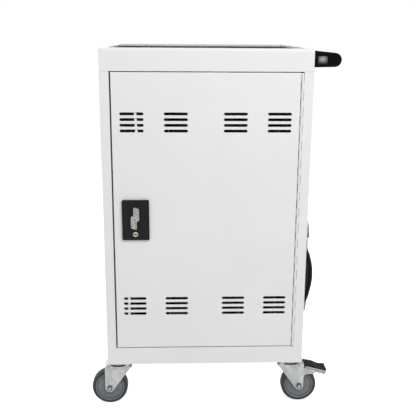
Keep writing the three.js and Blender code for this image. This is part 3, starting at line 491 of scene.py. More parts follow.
def blend_colours(tree, value, first, second):
    colours = {"A": (*first, 1.0), "B": (*second, 1.0)}
    return add_node(tree, "Mix", {"Factor": value, **colours}, data_type="RGBA")["Result"]


def add_grain(tree, shader, rough, grain, stretch=EVEN):
    """A fine grain: a roughness range, and a relief of (scale, strength, depth in metres)."""
    scale, strength, depth = grain
    fine = noise(tree, scale, GRAIN_DETAIL, stretch)
    bump = add_node(tree, "Bump", {"Height": fine, "Strength": strength, "Distance": depth})
    set_inputs(tree, shader, {"Roughness": spread(tree, fine, *rough), "Normal": bump["Normal"]})


def finish_of(name, dark, light, rough, grain, cloud, metallic=0.0, specular=0.5, stretch=EVEN):
    """A surface whose colour drifts between two tones in clouds of a scale, with a fine grain."""
    material, tree, shader = new_material(name, metallic, specular)
    drift = spread(tree, noise(tree, cloud, CLOUD_DETAIL, stretch), 0.0, 1.0)
    set_inputs(tree, shader, {"Base Color": blend_colours(tree, drift, dark, light)})
    add_grain(tree, shader, rough, grain, stretch)
    return material


def painted_highlight_finish(name, dark, light, rough, grain, middle, reach):
    """A dark metal with a painted highlight: bright about one place of its box and fading within a share of
    the box.
    """
    material, tree, shader = new_material(name, metallic=1.0)
    place = add_node(tree, "TexCoord", {})["Generated"]
    away = add_node(tree, "VectorMath", {0: place, 1: middle}, operation="SUBTRACT")["Vector"]
    flat = add_node(tree, "VectorMath", {0: away, 1: ACROSS_AND_UP}, operation="MULTIPLY")["Vector"]
    distance = add_node(tree, "VectorMath", {0: flat}, operation="LENGTH")["Value"]
    limits = {"From Max": reach, "To Min": 1.0, "To Max": 0.0}
    highlight_fade = add_node(tree, "MapRange", {"Value": distance, **limits}, interpolation_type="SMOOTHSTEP")
    set_inputs(tree, shader, {"Base Color": blend_colours(tree, highlight_fade["Result"], dark, light)})
    add_grain(tree, shader, rough, grain)
    return material


# One procedural finish for each kind of surface
materials = {
    "white_steel": finish_of(
        "powder_coat", dark=(0.79, 0.79, 0.786), light=(0.82, 0.82, 0.818), rough=(0.42, 0.52),
        grain=(900.0, 0.10, 0.0002), cloud=4.0,
    ),
    "zinc_steel": finish_of(
        "zinc_plate", dark=(0.26, 0.27, 0.272), light=(0.42, 0.425, 0.42), rough=(0.30, 0.46),
        grain=(420.0, 0.05, 0.0001), cloud=70.0, metallic=1.0, stretch=(1.0, 1.0, 0.35),
    ),
    # Zinc painted darker to stand for shade: on the wheel's axle bolt, and on the key barrel seen down the
    # keyway.
    "shade_darkened_zinc": finish_of(
        "shade_darkened_zinc", dark=(0.10, 0.105, 0.11), light=(0.17, 0.175, 0.18), rough=(0.34, 0.5),
        grain=(420.0, 0.05, 0.0001), cloud=90.0, metallic=1.0,
    ),
    "handle_plastic": finish_of(
        "handle_plastic", dark=(0.0022, 0.0023, 0.0024), light=(0.004, 0.0042, 0.0044),
        rough=(0.26, 0.36), grain=(1400.0, 0.06, 0.0001), cloud=120.0, specular=0.05,
    ),
    # The cap plate's colour holds a painted highlight, brightest at its upper middle and fading to dark
    # metal.
    "cap_plate": painted_highlight_finish(
        "cap_plate", dark=(0.045, 0.046, 0.052), light=(0.33, 0.335, 0.375), rough=(0.28, 0.38),
        grain=(600.0, 0.05, 0.0001), middle=(0.5, 0.0, 0.6), reach=0.62,
    ),
    "mat_rubber": finish_of(
        "mat_rubber", dark=(0.016, 0.020, 0.019), light=(0.026, 0.031, 0.030), rough=(0.8, 0.95),
        grain=(900.0, 0.12, 0.0002), cloud=50.0, specular=0.04,
    ),
    "pad_rubber": finish_of(
        "pad_rubber", dark=(0.007, 0.010, 0.0085), light=(0.013, 0.017, 0.015), rough=(0.55, 0.75),
        grain=(1100.0, 0.12, 0.0002), cloud=80.0, specular=0.10,
    ),
    "outlet_plastic": finish_of(
        "outlet_plastic", dark=(0.020, 0.020, 0.021), light=(0.028, 0.028, 0.029), rough=(0.3, 0.42),
        grain=(1300.0, 0.06, 0.0001), cloud=70.0, specular=0.3,
    ),
    "satin_steel": finish_of(
        "satin_nickel", dark=(0.15, 0.15, 0.148), light=(0.47, 0.47, 0.46), rough=(0.36, 0.52),
        grain=(700.0, 0.12, 0.0002), cloud=320.0, metallic=1.0,
    ),
    "brass": finish_of(
        "brass", dark=(0.36, 0.32, 0.22), light=(0.64, 0.59, 0.46), rough=(0.24, 0.38),
        grain=(500.0, 0.05, 0.0001), cloud=160.0, metallic=1.0,
    ),
    "black_plastic": finish_of(
        "black_plastic", dark=(0.0045, 0.0047, 0.005), light=(0.009, 0.0093, 0.010), rough=(0.36, 0.5),
        grain=(1600.0, 0.16, 0.0002), cloud=120.0, specular=0.16,
    ),
    "black_rubber": finish_of(
        "black_rubber", dark=(0.010, 0.0105, 0.011), light=(0.016, 0.0165, 0.017), rough=(0.52, 0.7),
        grain=(1100.0, 0.12, 0.0002), cloud=60.0, specular=0.16,
    ),
    "grey_tread": finish_of(
        "tread_rubber", dark=(0.027, 0.028, 0.029), light=(0.040, 0.0415, 0.043), rough=(0.55, 0.75),
        grain=(800.0, 0.18, 0.0003), cloud=70.0, specular=0.35,
    ),
    "rim_plastic": finish_of(
        "rim_plastic", dark=(0.175, 0.195, 0.20), light=(0.22, 0.245, 0.25), rough=(0.4, 0.55),
        grain=(900.0, 0.10, 0.0002), cloud=60.0,
    ),
    "grey_plastic": finish_of(
        "hub_plastic", dark=(0.126, 0.134, 0.146), light=(0.158, 0.167, 0.180), rough=(0.45, 0.6),
        grain=(900.0, 0.10, 0.0002), cloud=60.0,
    ),
}


# Pieces
def to_piece(name, shape, body, look, replaces=(), sharp=35.0):
    """Turns a bmesh drawn in millimetres into a piece that rides on a body.

    look is its material.
    """
    bmesh.ops.recalc_face_normals(shape, faces=shape.faces)
    shape.transform(Matrix.Scale(MM, 4))
    mesh = bpy.data.meshes.new(name)
    shape.to_mesh(mesh)
    shape.free()
    mesh.shade_smooth()
    mesh.set_sharp_from_angle(angle=math.radians(sharp))
    mesh.materials.append(materials[look])
    obj = new_object(name, mesh)
    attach(obj, body)
    if replaces:
        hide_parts(*replaces)
    return obj


def round_edges(obj, width, segments=2):
    """Softens the edges of a piece or a CAD node by modifiers alone."""
    weld = obj.modifiers.new("weld", "WELD")
    weld.merge_threshold = WELD_REACH * MM
    bevel = obj.modifiers.new("bevel", "BEVEL")
    bevel.width = width * MM
    bevel.segments = segments
    bevel.limit_method = "ANGLE"
    bevel.angle_limit = BEVEL_ANGLE
    bevel.use_clamp_overlap = False
    bevel.miter_outer = "MITER_ARC"
    bevel.harden_normals = True
    even = obj.modifiers.new("even_normals", "WEIGHTED_NORMAL")
    even.keep_sharp = True


def dress_cad():
    """Gives every CAD node its slot's material, and the nodes listed in EDGE_WIDTHS soft edges."""
    slot_of = {row["node"]: row["material_slot"] for row in frame["record"]["subparts"]}
    for name, obj in nodes.items():
        for place in obj.material_slots:
            place.material = materials[slot_of[name]]
    for name, width in EDGE_WIDTHS.items():
        round_edges(nodes[name], width)


# Turned shapes and blocks
def rings_of(shape, profile, segments):
    """A profile's points, repeated round the Z axis."""
    rings = []
    for i in range(segments):
        angle = 2 * math.pi * i / segments
        turn = Vector((math.cos(angle), math.sin(angle), 0.0))
        rings.append([shape.verts.new(turn * r + Vector((0.0, 0.0, z))) for r, z in profile])
    return rings


def spin(profile, segments):
    """A closed profile turned about the Z axis."""
    shape = bmesh.new()
    rings = rings_of(shape, profile, segments)
    count = len(profile)
    for i in range(segments):
        here, after = rings[i], rings[(i + 1) % segments]
        for j in range(count):
            k = (j + 1) % count
            shape.faces.new((here[j], after[j], after[k], here[k]))
    return shape


def turned(profile, segments):
    """An open profile that starts and ends on the Z axis, turned about it."""
    shape = bmesh.new()
    first = shape.verts.new((0.0, 0.0, profile[0][1]))
    last = shape.verts.new((0.0, 0.0, profile[-1][1]))
    rings = rings_of(shape, profile[1:-1], segments)
    for i in range(segments):
        here, after = rings[i], rings[(i + 1) % segments]
        shape.faces.new((first, after[0], here[0]))
        shape.faces.new((last, here[-1], after[-1]))
        for j in range(len(here) - 1):
            shape.faces.new((here[j], after[j], after[j + 1], here[j + 1]))
    return shape


def post(radius, start, stop, sides):
    """A round post along Z."""
    return turned([(0.0, start), (radius, start), (radius, stop), (0.0, stop)], sides)


def ribs(count, start, pitch, radius, growth, rib):
    """Profile points of a row of ribs: rib is (inset, along) points, and each radius grows on the last."""
    points = []
    for i in range(count):
        points += [(radius + growth * i - inset, start + pitch * i + along) for inset, along in rib]
    return points


def add_block(shape, x, y, z):
    """A box with the given limits, added to a bmesh."""
    made = bmesh.ops.create_cube(shape, size=1.0)
    size = Vector((x[1] - x[0], y[1] - y[0], z[1] - z[0]))
    centre = Vector((x[0] + x[1], y[0] + y[1], z[0] + z[1])) / 2
    for vert in made["verts"]:
        vert.co = Vector(a * b for a, b in zip(vert.co, size)) + centre


def add_shape(shape, other, turn=Matrix.Identity(4)):
    """Adds another bmesh to this one, placed by a matrix, and frees it."""
    other.transform(turn)
    mesh = bpy.data.meshes.new("part")
    other.to_mesh(mesh)
    other.free()
    shape.from_mesh(mesh)
    bpy.data.meshes.remove(mesh)


# Outlines and plates
def rectangle(x, z):
    return [(x[0], z[0]), (x[1], z[0]), (x[1], z[1]), (x[0], z[1])]


def circle(x, z, radius, count=24):
    angles = [2 * math.pi * i / count for i in range(count)]
    return [(x + radius * math.cos(a), z + radius * math.sin(a)) for a in angles]


def vent(x, z):
    """A vent's round-ended outline."""
    radius = VENT_HEIGHT / 2
    reach = VENT_LENGTH / 2 - radius
    right = [-math.pi / 2 + math.pi * i / VENT_STEPS for i in range(VENT_STEPS + 1)]
    points = [(x + reach + radius * math.cos(a), z + radius * math.sin(a)) for a in right]
    return points + [(2 * x - px, 2 * z - pz) for px, pz in points]


def softened(corners, steps=6):
    """An outline through corners (x, z, reach), each rounded off over its reach."""
    points = []
    for i, (x, z, reach) in enumerate(corners):
        corner = Vector((x, z))
        before = Vector(corners[i - 1][:2])
        after = Vector(corners[(i + 1) % len(corners)][:2])
        start = corner + reach * (before - corner).normalized()
        stop = corner + reach * (after - corner).normalized()
        for t in (k / steps for k in range(steps + 1)):
            points.append(tuple(start.lerp(corner, t).lerp(corner.lerp(stop, t), t)))
    return points


def rounded(x, z, reach, steps=6):
    """A rectangle's outline with round corners."""
    return softened([(cx, cz, reach) for cx, cz in rectangle(x, z)], steps)


def ring(shape, points, depth=0.0):
    """An outline's edges, at a depth along Y."""
    verts = [shape.verts.new((x, depth, z)) for x, z in points]
    return [shape.edges.new((a, b)) for a, b in zip(verts, verts[1:] + verts[:1])]


def fill(shape, loops, depth):
    """Fills between outlines, at a depth along Y, and gives what it made."""
    edges = []
    for loop in loops:
        edges += ring(shape, loop, depth)
    return bmesh.ops.triangle_fill(shape, use_beauty=True, edges=edges)["geom"]


def wall(shape, loop, start, stop):
    """The faces along an outline, from one depth to another."""
    near, far = ([shape.verts.new((x, depth, z)) for x, z in loop] for depth in (start, stop))
    for i in range(len(loop)):
        shape.faces.new((near[i - 1], near[i], far[i], far[i - 1]))


def plate(outer, holes, thickness):
    """A flat plate with holes, from y = 0 to y = thickness."""
    shape = bmesh.new()
    filled = fill(shape, [outer, *holes], 0.0)
    faces = [g for g in filled if isinstance(g, bmesh.types.BMFace)]
    raised = bmesh.ops.extrude_face_region(shape, geom=faces, use_keep_orig=True)
    verts = [g for g in raised["geom"] if isinstance(g, bmesh.types.BMVert)]
    bmesh.ops.translate(shape, verts=verts, vec=(0.0, thickness, 0.0))
    return shape


def dished(outer, dishes, thickness, depth):
    """A plate from y = 0 to its thickness with sunk fields in front: dishes lists (outline, holes in it)."""
    shape = bmesh.new()
    fill(shape, [outer, *(outline for outline, _ in dishes)], 0.0)
    for outline, holes in dishes:
        fill(shape, [outline, *holes], depth)
        wall(shape, outline, 0.0, depth)
        for hole in holes:
            wall(shape, hole, depth, thickness)
    fill(shape, [outer, *(hole for _, holes in dishes for hole in holes)], thickness)
    wall(shape, outer, 0.0, thickness)
    bmesh.ops.remove_doubles(shape, verts=shape.verts, dist=JOIN_REACH)
    return shape


# Cord
def loop_place(fraction, radius):
    """Place on one loop at a fraction of a turn: (along Y, along Z) from the hank's middle."""
    half = HANK_RUN / 2
    speed = half / HALF_RUN_SHARE
    place = fraction - math.floor(fraction)
    if place >= 1 / 2:
        along, height = loop_place(place - 1 / 2, radius)
        return -along, -height
    if place < HALF_RUN_SHARE:
        return radius, -place * speed
    if place < HALF_RUN_SHARE + BEND_SHARE:
        angle = -math.pi * (place - HALF_RUN_SHARE) / BEND_SHARE
        return radius * math.cos(angle), -half + radius * math.sin(angle)
    return -radius, (place - 1 / 2) * speed


def bow_at(height, radius):
    """How far the loops bow out from the wall: most just below the middle, none at the hooks."""
    half = HANK_RUN / 2
    fall = half - height if height > -half else HANK_RUN - (half + height) * HANK_RADIUS / radius
    share = held(fall / (HANK_RUN + HANK_RADIUS))
    return eased(fall / HANK_SETTLE) * math.sin(math.pi * share ** HANK_SLUMP)


def loop_point(turn):
    """A point of the hank: it winds outwards, climbs onto itself in the middle turn and winds back."""
    climb = held(2 * (turn - HANK_TURNS) + 0.5)
    side = HANK_TURNS - abs(turn - HANK_TURNS)
    radius = HANK_RADIUS + climb * CORD_PITCH
    along, height = loop_place(turn, radius)
    bow = eased(2 * min(turn, HANK_LOOPS - turn)) * bow_at(height, radius)
    x = HANK_START + side * CORD_PITCH + bow * (HANK_BOW + HANK_FAN * side)
    return Vector((x, HANK_Y + along, HANK_Z + height))


def tail_point(fraction):
    end = loop_point(HANK_LOOPS)
    drop = fraction * (TAIL_DROP + TAIL_STRAIGHT)
    ease = eased(drop / TAIL_DROP)
    return end + Vector((ease * (PLUG_X - end.x), ease * TAIL_SHIFT, -drop))


def lead_points(join):
    """The lead: level from the gland, easing in to the wall, then a quarter bend down to the hank."""
    begin = Vector((RIGHT_X + GLAND_REACH, GLAND_Y - GLAND_NOSE - SEAM, GLAND_Z))
    bend = Vector((join.x, join.y + LEAD_BEND, GLAND_Z - LEAD_SAG))
    run = begin.y - bend.y
    level = []
    for i in range(LEAD_STEPS):
        gone = run * i / LEAD_STEPS
        ease = eased((gone - LEAD_STRAIGHT) / (run - LEAD_STRAIGHT))
        level.append(Vector((begin.x + ease * (bend.x - begin.x), begin.y - gone, begin.z - ease * LEAD_SAG)))
    turns = [math.pi / 2 * i / LEAD_STEPS for i in range(LEAD_STEPS + 1)]
    down = [bend - LEAD_BEND * Vector((0.0, math.sin(turn), 1 - math.cos(turn))) for turn in turns]
    return level + down


def cord_points():
    steps = range(LEAD_JOIN, HANK_LOOPS * STEPS_PER_LOOP)
    loops = [loop_point(i / STEPS_PER_LOOP) for i in steps]
    tail = [tail_point(i / TAIL_STEPS) for i in range(TAIL_STEPS + 1)]
    return lead_points(loops[0]) + loops + tail


def cord_tube(points):
    """A round tube through the cord's points."""
    data = bpy.data.curves.new("mains_cord", "CURVE")
    data.dimensions = "3D"
    data.bevel_depth = CORD_RADIUS * MM
    data.bevel_resolution = CORD_ROUNDNESS
    data.use_fill_caps = True
    line = data.splines.new("POLY")
    line.points.add(len(points) - 1)
    for place, point in zip(line.points, points):
        place.co = (*(point * MM), 1.0)
    line.use_smooth = True
    data.materials.append(materials["black_rubber"])
    return new_object("mains_cord", data)


def add_cord():
    points = cord_points()
    cord = cord_tube(points)
    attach(cord, "cabinet")
    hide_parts("cord_lead", "cord_hank")
    plug = add_plug(points[-1])
    add_gland()


def add_plug(top):
    """A moulded plug under the cord's end: a ribbed neck, a body with a finger groove, blades and pin."""
    neck = ribs(NECK_RIBS, -SEAM, NECK_PITCH, NECK_RADIUS, NECK_FLARE, NECK_RIB)
    shape = turned([(0.0, -SEAM), *neck, *PLUG_BODY, (0.0, -PLUG_LENGTH)], PLUG_SIDES)
    shape.transform(move(top))
    plug = to_piece("mains_plug", shape, "cabinet", "black_rubber", ["cord_plug"])
    for contact in (add_blades(top), add_ground_pin(top)):
        contact.parent = plug
    return plug


def add_blades(top):
    shape = bmesh.new()
    ends = (-PLUG_LENGTH - BLADE_REACH, -PLUG_LENGTH + BLADE_ROOT)
    for y in (-BLADE_Y, BLADE_Y):
        add_block(shape, about(0.0, BLADE_HALF_WIDTH), about(y, BLADE_HALF_SHEET), ends)
    shape.transform(move(top))
    blades = to_piece("plug_blades", shape, "cabinet", "brass")
    round_edges(blades, BLADE_EDGE)
    return blades


def add_ground_pin(top):
    shape = turned(PIN_PROFILE, SMALL_SIDES)
    shape.transform(move(top + Vector((PIN_X, 0.0, -PLUG_LENGTH))))
    return to_piece("plug_ground_pin", shape, "cabinet", "brass")


def add_gland():
    """The cord's outlet: a rounded block on the side panel with a tapered, ribbed nose."""
    low, high = box_of("cord_gland")
    shape = bmesh.new()
    add_block(shape, (RIGHT_X + SEAM, high.x), (GLAND_Y, high.y), (low.z, high.z))
    block = to_piece("gland_block", shape, "cabinet", "black_plastic", ["cord_gland"])
    round_edges(block, GLAND_EDGE, GLAND_EDGE_STEPS)
    row = ribs(NOSE_RIBS, NOSE_START, NOSE_PITCH, NOSE_RADIUS, NOSE_TAPER, NOSE_RIB)
    nose = turned([(0.0, 0.0), (NOSE_BASE, 0.0), *row, (NOSE_TIP, GLAND_NOSE), (0.0, GLAND_NOSE)], NOSE_SIDES)
    nose.transform(move((RIGHT_X + GLAND_REACH, GLAND_Y, GLAND_Z)) @ FORWARD)
    to_piece("gland_nose", nose, "cabinet", "black_rubber")


# Wheels
def add_wheels():
    """Each wheel's soft tread, the pale ring inside it and the dished hub."""
    for place in CASTERS:
        centre = middle_of(f"{place}_caster_tyre")
        for part, half, look, slot, replaced in WHEEL_PARTS:
            mirrored = [(radius, -along) for radius, along in reversed(half)]
            shape = spin([*half, *mirrored], WHEEL_SIDES)
            shape.transform(move(centre) @ ALONG_Y)
            stands_for = [f"{place}_caster_{name}" for name in replaced]
            to_piece(f"{place}_{part}", shape, f"{place}_wheel", look, stands_for, WHEEL_SHARP)


# Doors and hinges
def door_folds(across, height):
    """The rounded folds between the door's face and its edge flanges, with mitred corners."""
    arc = [math.pi / 2 * i / FOLD_STEPS for i in range(FOLD_STEPS + 1)]
    outer = [(DOOR_FOLD * (1 - math.sin(a)), DOOR_FOLD * (1 - math.cos(a))) for a in arc]
    tight = DOOR_FOLD - DOOR_SHEET
    inner = [(DOOR_FOLD - tight * math.sin(a), DOOR_FOLD - tight * math.cos(a)) for a in reversed(arc)]
    shape = bmesh.new()
    loops = []
    for inset, depth in outer + inner:
        corners = rectangle(shrunk(across, inset), shrunk(height, inset))
        loops.append([shape.verts.new((x, depth, z)) for x, z in corners])
    for here, after in zip(loops, loops[1:] + loops[:1]):
        for i in range(len(here)):
            shape.faces.new((here[i - 1], here[i], after[i], after[i - 1]))
    return shape


def vents():
    holes = []
    for group in (-VENT_OFFSET, VENT_OFFSET):
        for row in range(VENT_ROWS):
            z = DOOR_MIDDLE_Z - VENT_DROP + group + (row - (VENT_ROWS - 1) / 2) * VENT_PITCH
            holes += [vent(DOOR_MIDDLE_X + column, z) for column in VENT_COLUMNS]
    return holes


def door_shape(holes, rod_slots):
    """A folded door: a vented face, rounded folds and four edge flanges, drawn from its outer face inwards.

    rod_slots gives the middle of the slot in the lower and upper flange, or None.
    """
    across, height = (DOOR_LEFT, DOOR_RIGHT), (DOOR_BOTTOM, DOOR_TOP)
    shape = door_folds(across, height)
    face = rectangle(shrunk(across, DOOR_FOLD), shrunk(height, DOOR_FOLD))
    add_shape(shape, plate(face, holes, DOOR_SHEET))
    side = rectangle((DOOR_FOLD, DOOR_DEPTH), height)
    for x in (DOOR_LEFT, DOOR_RIGHT - DOOR_SHEET):
        add_shape(shape, plate(side, [], DOOR_SHEET), move((x, 0.0, 0.0)) @ SIDEWAYS)
    end = rectangle(shrunk(across, DOOR_SHEET), (DOOR_FOLD, DOOR_DEPTH))
    for z, middle in zip((DOOR_BOTTOM, DOOR_TOP - DOOR_SHEET), rod_slots):
        slot = [] if middle is None else [rectangle(about(middle, ROD_SLOT_WIDTH / 2), ROD_SLOT_DEPTHS)]
        add_shape(shape, plate(end, slot, DOOR_SHEET), move((0.0, 0.0, z)) @ LYING)
    return shape


def add_doors():
    lock_holes = {
        "front": [circle(KNOB_X, KNOB_Z, KNOB_HOLE), circle(KNOB_X, KEY_Z, KEY_HOLE)],
        "rear": [circle(REAR_LOCK_X, DOOR_MIDDLE_Z, REAR_LOCK_HOLE)],
    }
    rod_slots = {"front": (LOWER_ROD_X, UPPER_ROD_X), "rear": (None, None)}
    for place, holes in lock_holes.items():
        shape = door_shape(vents() + holes, rod_slots[place])
        shape.transform(FACES[place])
        to_piece(f"{place}_door_panel", shape, f"{place}_door", "white_steel", [f"{place}_door"])


def knuckle(low, high):
    """One barrel of a hinge, chamfered at both ends."""
    edge = BARREL_RADIUS - KNUCKLE_CHAMFER
    return spin([
        (BARREL_BORE, low), (edge, low), (BARREL_RADIUS, low + KNUCKLE_CHAMFER),
        (BARREL_RADIUS, high - KNUCKLE_CHAMFER), (edge, high), (BARREL_BORE, high),
    ], SMALL_SIDES)


def hinge_leaf(on_frame, count):
    """One leaf of a piano hinge: every second knuckle, and a plate behind them."""
    shape = bmesh.new()
    side = 1 if on_frame else -1
    pitch = (DOOR_TOP - DOOR_BOTTOM) / count
    faces = sorted((HINGE_X + side * LEAF_FACE, HINGE_X + side * (LEAF_FACE - LEAF_SHEET)))
    add_block(shape, faces, (LEAF_START, LEAF_DEPTH), shrunk((DOOR_BOTTOM, DOOR_TOP), LEAF_INSET))
    tab = (faces[0] - FRAME_TAB, faces[1]) if on_frame else (faces[0], faces[1] + DOOR_TAB)
    tab_start = -HINGE_PROUD if on_frame else DOOR_TAB_START
    for i in range(0 if on_frame else 1, count, 2):
        low = DOOR_BOTTOM + i * pitch + KNUCKLE_GAP / 2
        high = low + pitch - KNUCKLE_GAP
        add_shape(shape, knuckle(low, high), move((HINGE_X, -HINGE_PROUD, 0.0)))
        add_block(shape, tab, (tab_start, LEAF_START), (low, high))
    return shape


def add_hinges():
    for place, count in HINGE_KNUCKLES.items():
        for part, body in (("frame", "cabinet"), ("door", f"{place}_door")):
            shape = hinge_leaf(part == "frame", count)
            shape.transform(FACES[place])
            node = f"{place}_hinge_{part}_leaf"
            to_piece(f"{place}_{part}_hinge_leaf", shape, body, "white_steel", [node])


# Lock
def add_lock_plate():
    """The black escutcheon: a plate with round corners, a raised border and two holes."""
    low, high = box_of("lock_plate")
    x, z = (low.x, high.x), (low.z, high.z)
    middle = MIDDLE_X + KNOB_X
    holes = [circle(middle, KNOB_Z, KNOB_HOLE), circle(middle, KEY_Z, KEY_HOLE)]
    field = rounded(shrunk(x, LOCK_BORDER), shrunk(z, LOCK_BORDER), LOCK_FIELD_CORNER)
    shape = dished(rounded(x, z, LOCK_CORNER), [(field, holes)], high.y - low.y, LOCK_FIELD_DEPTH)
    shape.transform(move((0.0, low.y, 0.0)))
    piece = to_piece("lock_escutcheon", shape, "front_door", "black_plastic", ["lock_plate"])
    round_edges(piece, LOCK_EDGE)


def half_turn(corners):
    return [(-x, -z, reach) for x, z, reach in corners]


def add_knob():
    """The cast knob: an S of two arms, each with a sunk field, on its spindle."""
    low, high = box_of("turn_knob")
    arms = softened([*KNOB_HALF, *half_turn(KNOB_HALF)])
    fields = [softened(KNOB_PANEL), softened(half_turn(KNOB_PANEL))]
    shape = dished(arms, [(field, []) for field in fields], KNOB_THICKNESS, KNOB_DISH)
    add_shape(shape, post(KNOB_SPINDLE, KNOB_THICKNESS, high.y - low.y, KNOB_SIDES), ALONG_Y)
    shape.transform(move((MIDDLE_X + KNOB_X, low.y, KNOB_Z)))
    knob = to_piece("knob_grip", shape, "lock_spindle", "satin_steel", ["turn_knob"])
    round_edges(knob, KNOB_EDGE)


def add_key():
    """The key cylinder: a ringed face with a keyway, and the barrel behind it."""
    low, high = box_of("key_cylinder")
    place = move((MIDDLE_X + KNOB_X, low.y, KEY_Z))
    keyway = rounded(*KEYWAY, KEYWAY_CORNER, KEYWAY_STEPS)
    disc = circle(0.0, 0.0, KEY_RADIUS - KEY_FACE_INSET, KEY_SIDES)
    face = plate(disc, [keyway], KEY_HEAD - KEY_FACE_SUNK)
    face.transform(move((0.0, KEY_FACE_SUNK, 0.0)) @ Matrix.Rotation(KEYWAY_TURN, 4, "Y"))
    rim = [(KEY_RADIUS - inset, depth) for inset, depth in KEY_RING]
    add_shape(face, spin(rim, KEY_SIDES), ALONG_Y)
    face.transform(place)
    to_piece("key_face", face, "key", "brass", ["key_cylinder"])
    # The barrel seen down the keyway gets darker zinc as painted shade inside the keyway.
    barrel = post(KEY_RADIUS, KEY_HEAD, high.y - low.y, KEY_SIDES)
    barrel.transform(place @ ALONG_Y)
    to_piece("key_barrel", barrel, "key", "shade_darkened_zinc")


def strap_shape(low, high):
    """A flat strap with two clips, drawn along its rod's axis."""
    near, far = (depth - ROD_DEPTH for depth in STRAP_DEPTHS)
    half = STRAP_WIDTH / 2
    shape = plate(rounded(about(0.0, half), (low, high), STRAP_CORNER, STRAP_STEPS), [], far - near)
    shape.transform(move((0.0, near, 0.0)))
    depths = (far - CLIP_OVERLAP, ROD_RADIUS + CLIP_COVER)
    for clip in (low + CLIP_INSET, high - CLIP_INSET - CLIP_LENGTH):
        add_block(shape, about(0.0, half - CLIP_MARGIN), depths, (clip, clip + CLIP_LENGTH))
    return shape


def add_rod_straps():
    """The painted flat straps that the lock rods carry close behind the door's skin."""
    inward = Vector((0.0, 1.0, 0.0))
    for place, pin, guide, level in ROD_LINES:
        start = Vector((MIDDLE_X + pin, FRONT_Y + ROD_DEPTH, KNOB_Z))
        rod = Vector((MIDDLE_X + guide, FRONT_Y + ROD_DEPTH, level)) - start
        along = rod.normalized()
        shape = strap_shape(STRAP_ENDS[0], rod.length - STRAP_ENDS[1])
        turn = Matrix((inward.cross(along), inward, along)).transposed().to_4x4()
        shape.transform(move(start) @ turn)
        strap = to_piece(f"{place}_rod_strap", shape, f"{place}_rod", "white_steel")
        round_edges(strap, STRAP_EDGE)


# Handle, mat and outlets
def cap_profile():
    """The handle cap's section: flat behind, in the bracket's recess, and domed in front."""
    half = CAP_HEIGHT / 2
    levels = [half * (1 - i / CAP_STEPS) for i in range(2 * CAP_STEPS + 1)]
    dome = [(CAP_RISE * (1 - (z / half) ** 2) + CAP_LIP, z) for z in levels]
    return [(-CAP_SEAT, half), *dome, (-CAP_SEAT, -half)]


def add_caps():
    """Black brackets with a domed metal plate on each outer end."""
    for place, side in (("front", -1), ("rear", 1)):
        node = f"handle_{place}_bracket"
        nodes[node].material_slots[0].material = materials["handle_plastic"]
        low, high = box_of(node)
        shape = plate(cap_profile(), [], CAP_WIDTH)
        turn = Matrix.Rotation(-side * math.pi / 2, 4, "Z") @ move((0.0, -CAP_WIDTH / 2, 0.0))
        outer_y = low.y if side < 0 else high.y
        middle = ((low.x + HANDLE_AXIS_X) / 2, outer_y, HANDLE_AXIS_Z)
        shape.transform(move(middle) @ turn)
        cap = to_piece(f"handle_{place}_cap", shape, "cabinet", "cap_plate")
        round_edges(cap, CAP_EDGE)


def add_grip():
    """The handle's rubber sleeve with a row of grooves."""
    low, high = box_of("handle_grip")
    middle = (low + high) / 2
    length = high.y - low.y
    edge = GRIP_RADIUS - GRIP_CHAMFER
    count = int((length - 2 * GRIP_PLAIN) / GRIP_PITCH)
    grip = turned([
        (0.0, 0.0), (edge, 0.0), (GRIP_RADIUS, GRIP_CHAMFER),
        *ribs(count, GRIP_PLAIN, GRIP_PITCH, GRIP_RADIUS, 0.0, GRIP_GROOVE),
        (GRIP_RADIUS, length - GRIP_CHAMFER), (edge, length), (0.0, length),
    ], GRIP_SIDES)
    grip.transform(move((middle.x, low.y, middle.z)) @ ALONG_Y)
    to_piece("handle_sleeve", grip, "cabinet", "black_rubber", ["handle_grip"])


def add_mat():
    """The tray's rubber mat, ribbed from front to back."""
    low, high = box_of("top_mat")
    top = high.z - MAT_SUNK
    valley = top - MAT_GROOVE_DEPTH
    down, up, end = MAT_GROOVE
    outline = [(low.x, low.z), (high.x, low.z), (high.x, top), (high.x - MAT_MARGIN, top)]
    width = high.x - low.x - 2 * MAT_MARGIN
    count = int(width / MAT_PITCH)
    pitch = width / count
    for i in range(count):
        x = high.x - MAT_MARGIN - pitch * i
        outline += [(x - down, valley), (x - up, valley), (x - end, top), (x - pitch, top)]
    outline += [(low.x, top)]
    shape = plate(outline, [], high.y - low.y)
    shape.transform(move((0.0, low.y, 0.0)))
    to_piece("tray_mat", shape, "cabinet", "mat_rubber", ["top_mat"], MAT_SHARP)


def add_outlets():
    """The outlet faces in the power strips, each with two blade slots and an earth hole."""
    square = rounded(about(0.0, OUTLET_HALF), about(0.0, OUTLET_HALF), OUTLET_CORNER)
    holes = [rectangle(*slot) for slot in OUTLET_SLOTS] + [circle(*EARTH_HOLE)]
    for level in ("lower", "upper"):
        low, high = box_of(f"{level}_power_strip")
        shape = bmesh.new()
        pitch = (high.x - low.x) / OUTLETS
        for i in range(OUTLETS):
            place = (low.x + (i + 0.5) * pitch, high.y - OUTLET_SUNK, (low.z + high.z) / 2)
            add_shape(shape, plate(square, holes, OUTLET_SHEET), move(place))
        to_piece(f"{level}_outlets", shape, "cabinet", "outlet_plastic")


# Fasteners and casters
def add_hook_screws():
    """Domed heads with a round socket on the cord hooks."""
    profile = [(SCREW_RADIUS * across, SCREW_HEIGHT * up) for across, up in SCREW_HEAD]
    face = RIGHT_X + SEAM + HOOK_SHEET
    shape = bmesh.new()
    for way in (1, -1):
        for offset in HOOK_SCREWS:
            place = (face, HANK_Y, HANK_Z + way * (HANK_RUN / 2 + offset))
            add_shape(shape, turned(profile, SMALL_SIDES), move(place) @ ALONG_X)
    to_piece("hook_screws", shape, "cabinet", "zinc_steel")


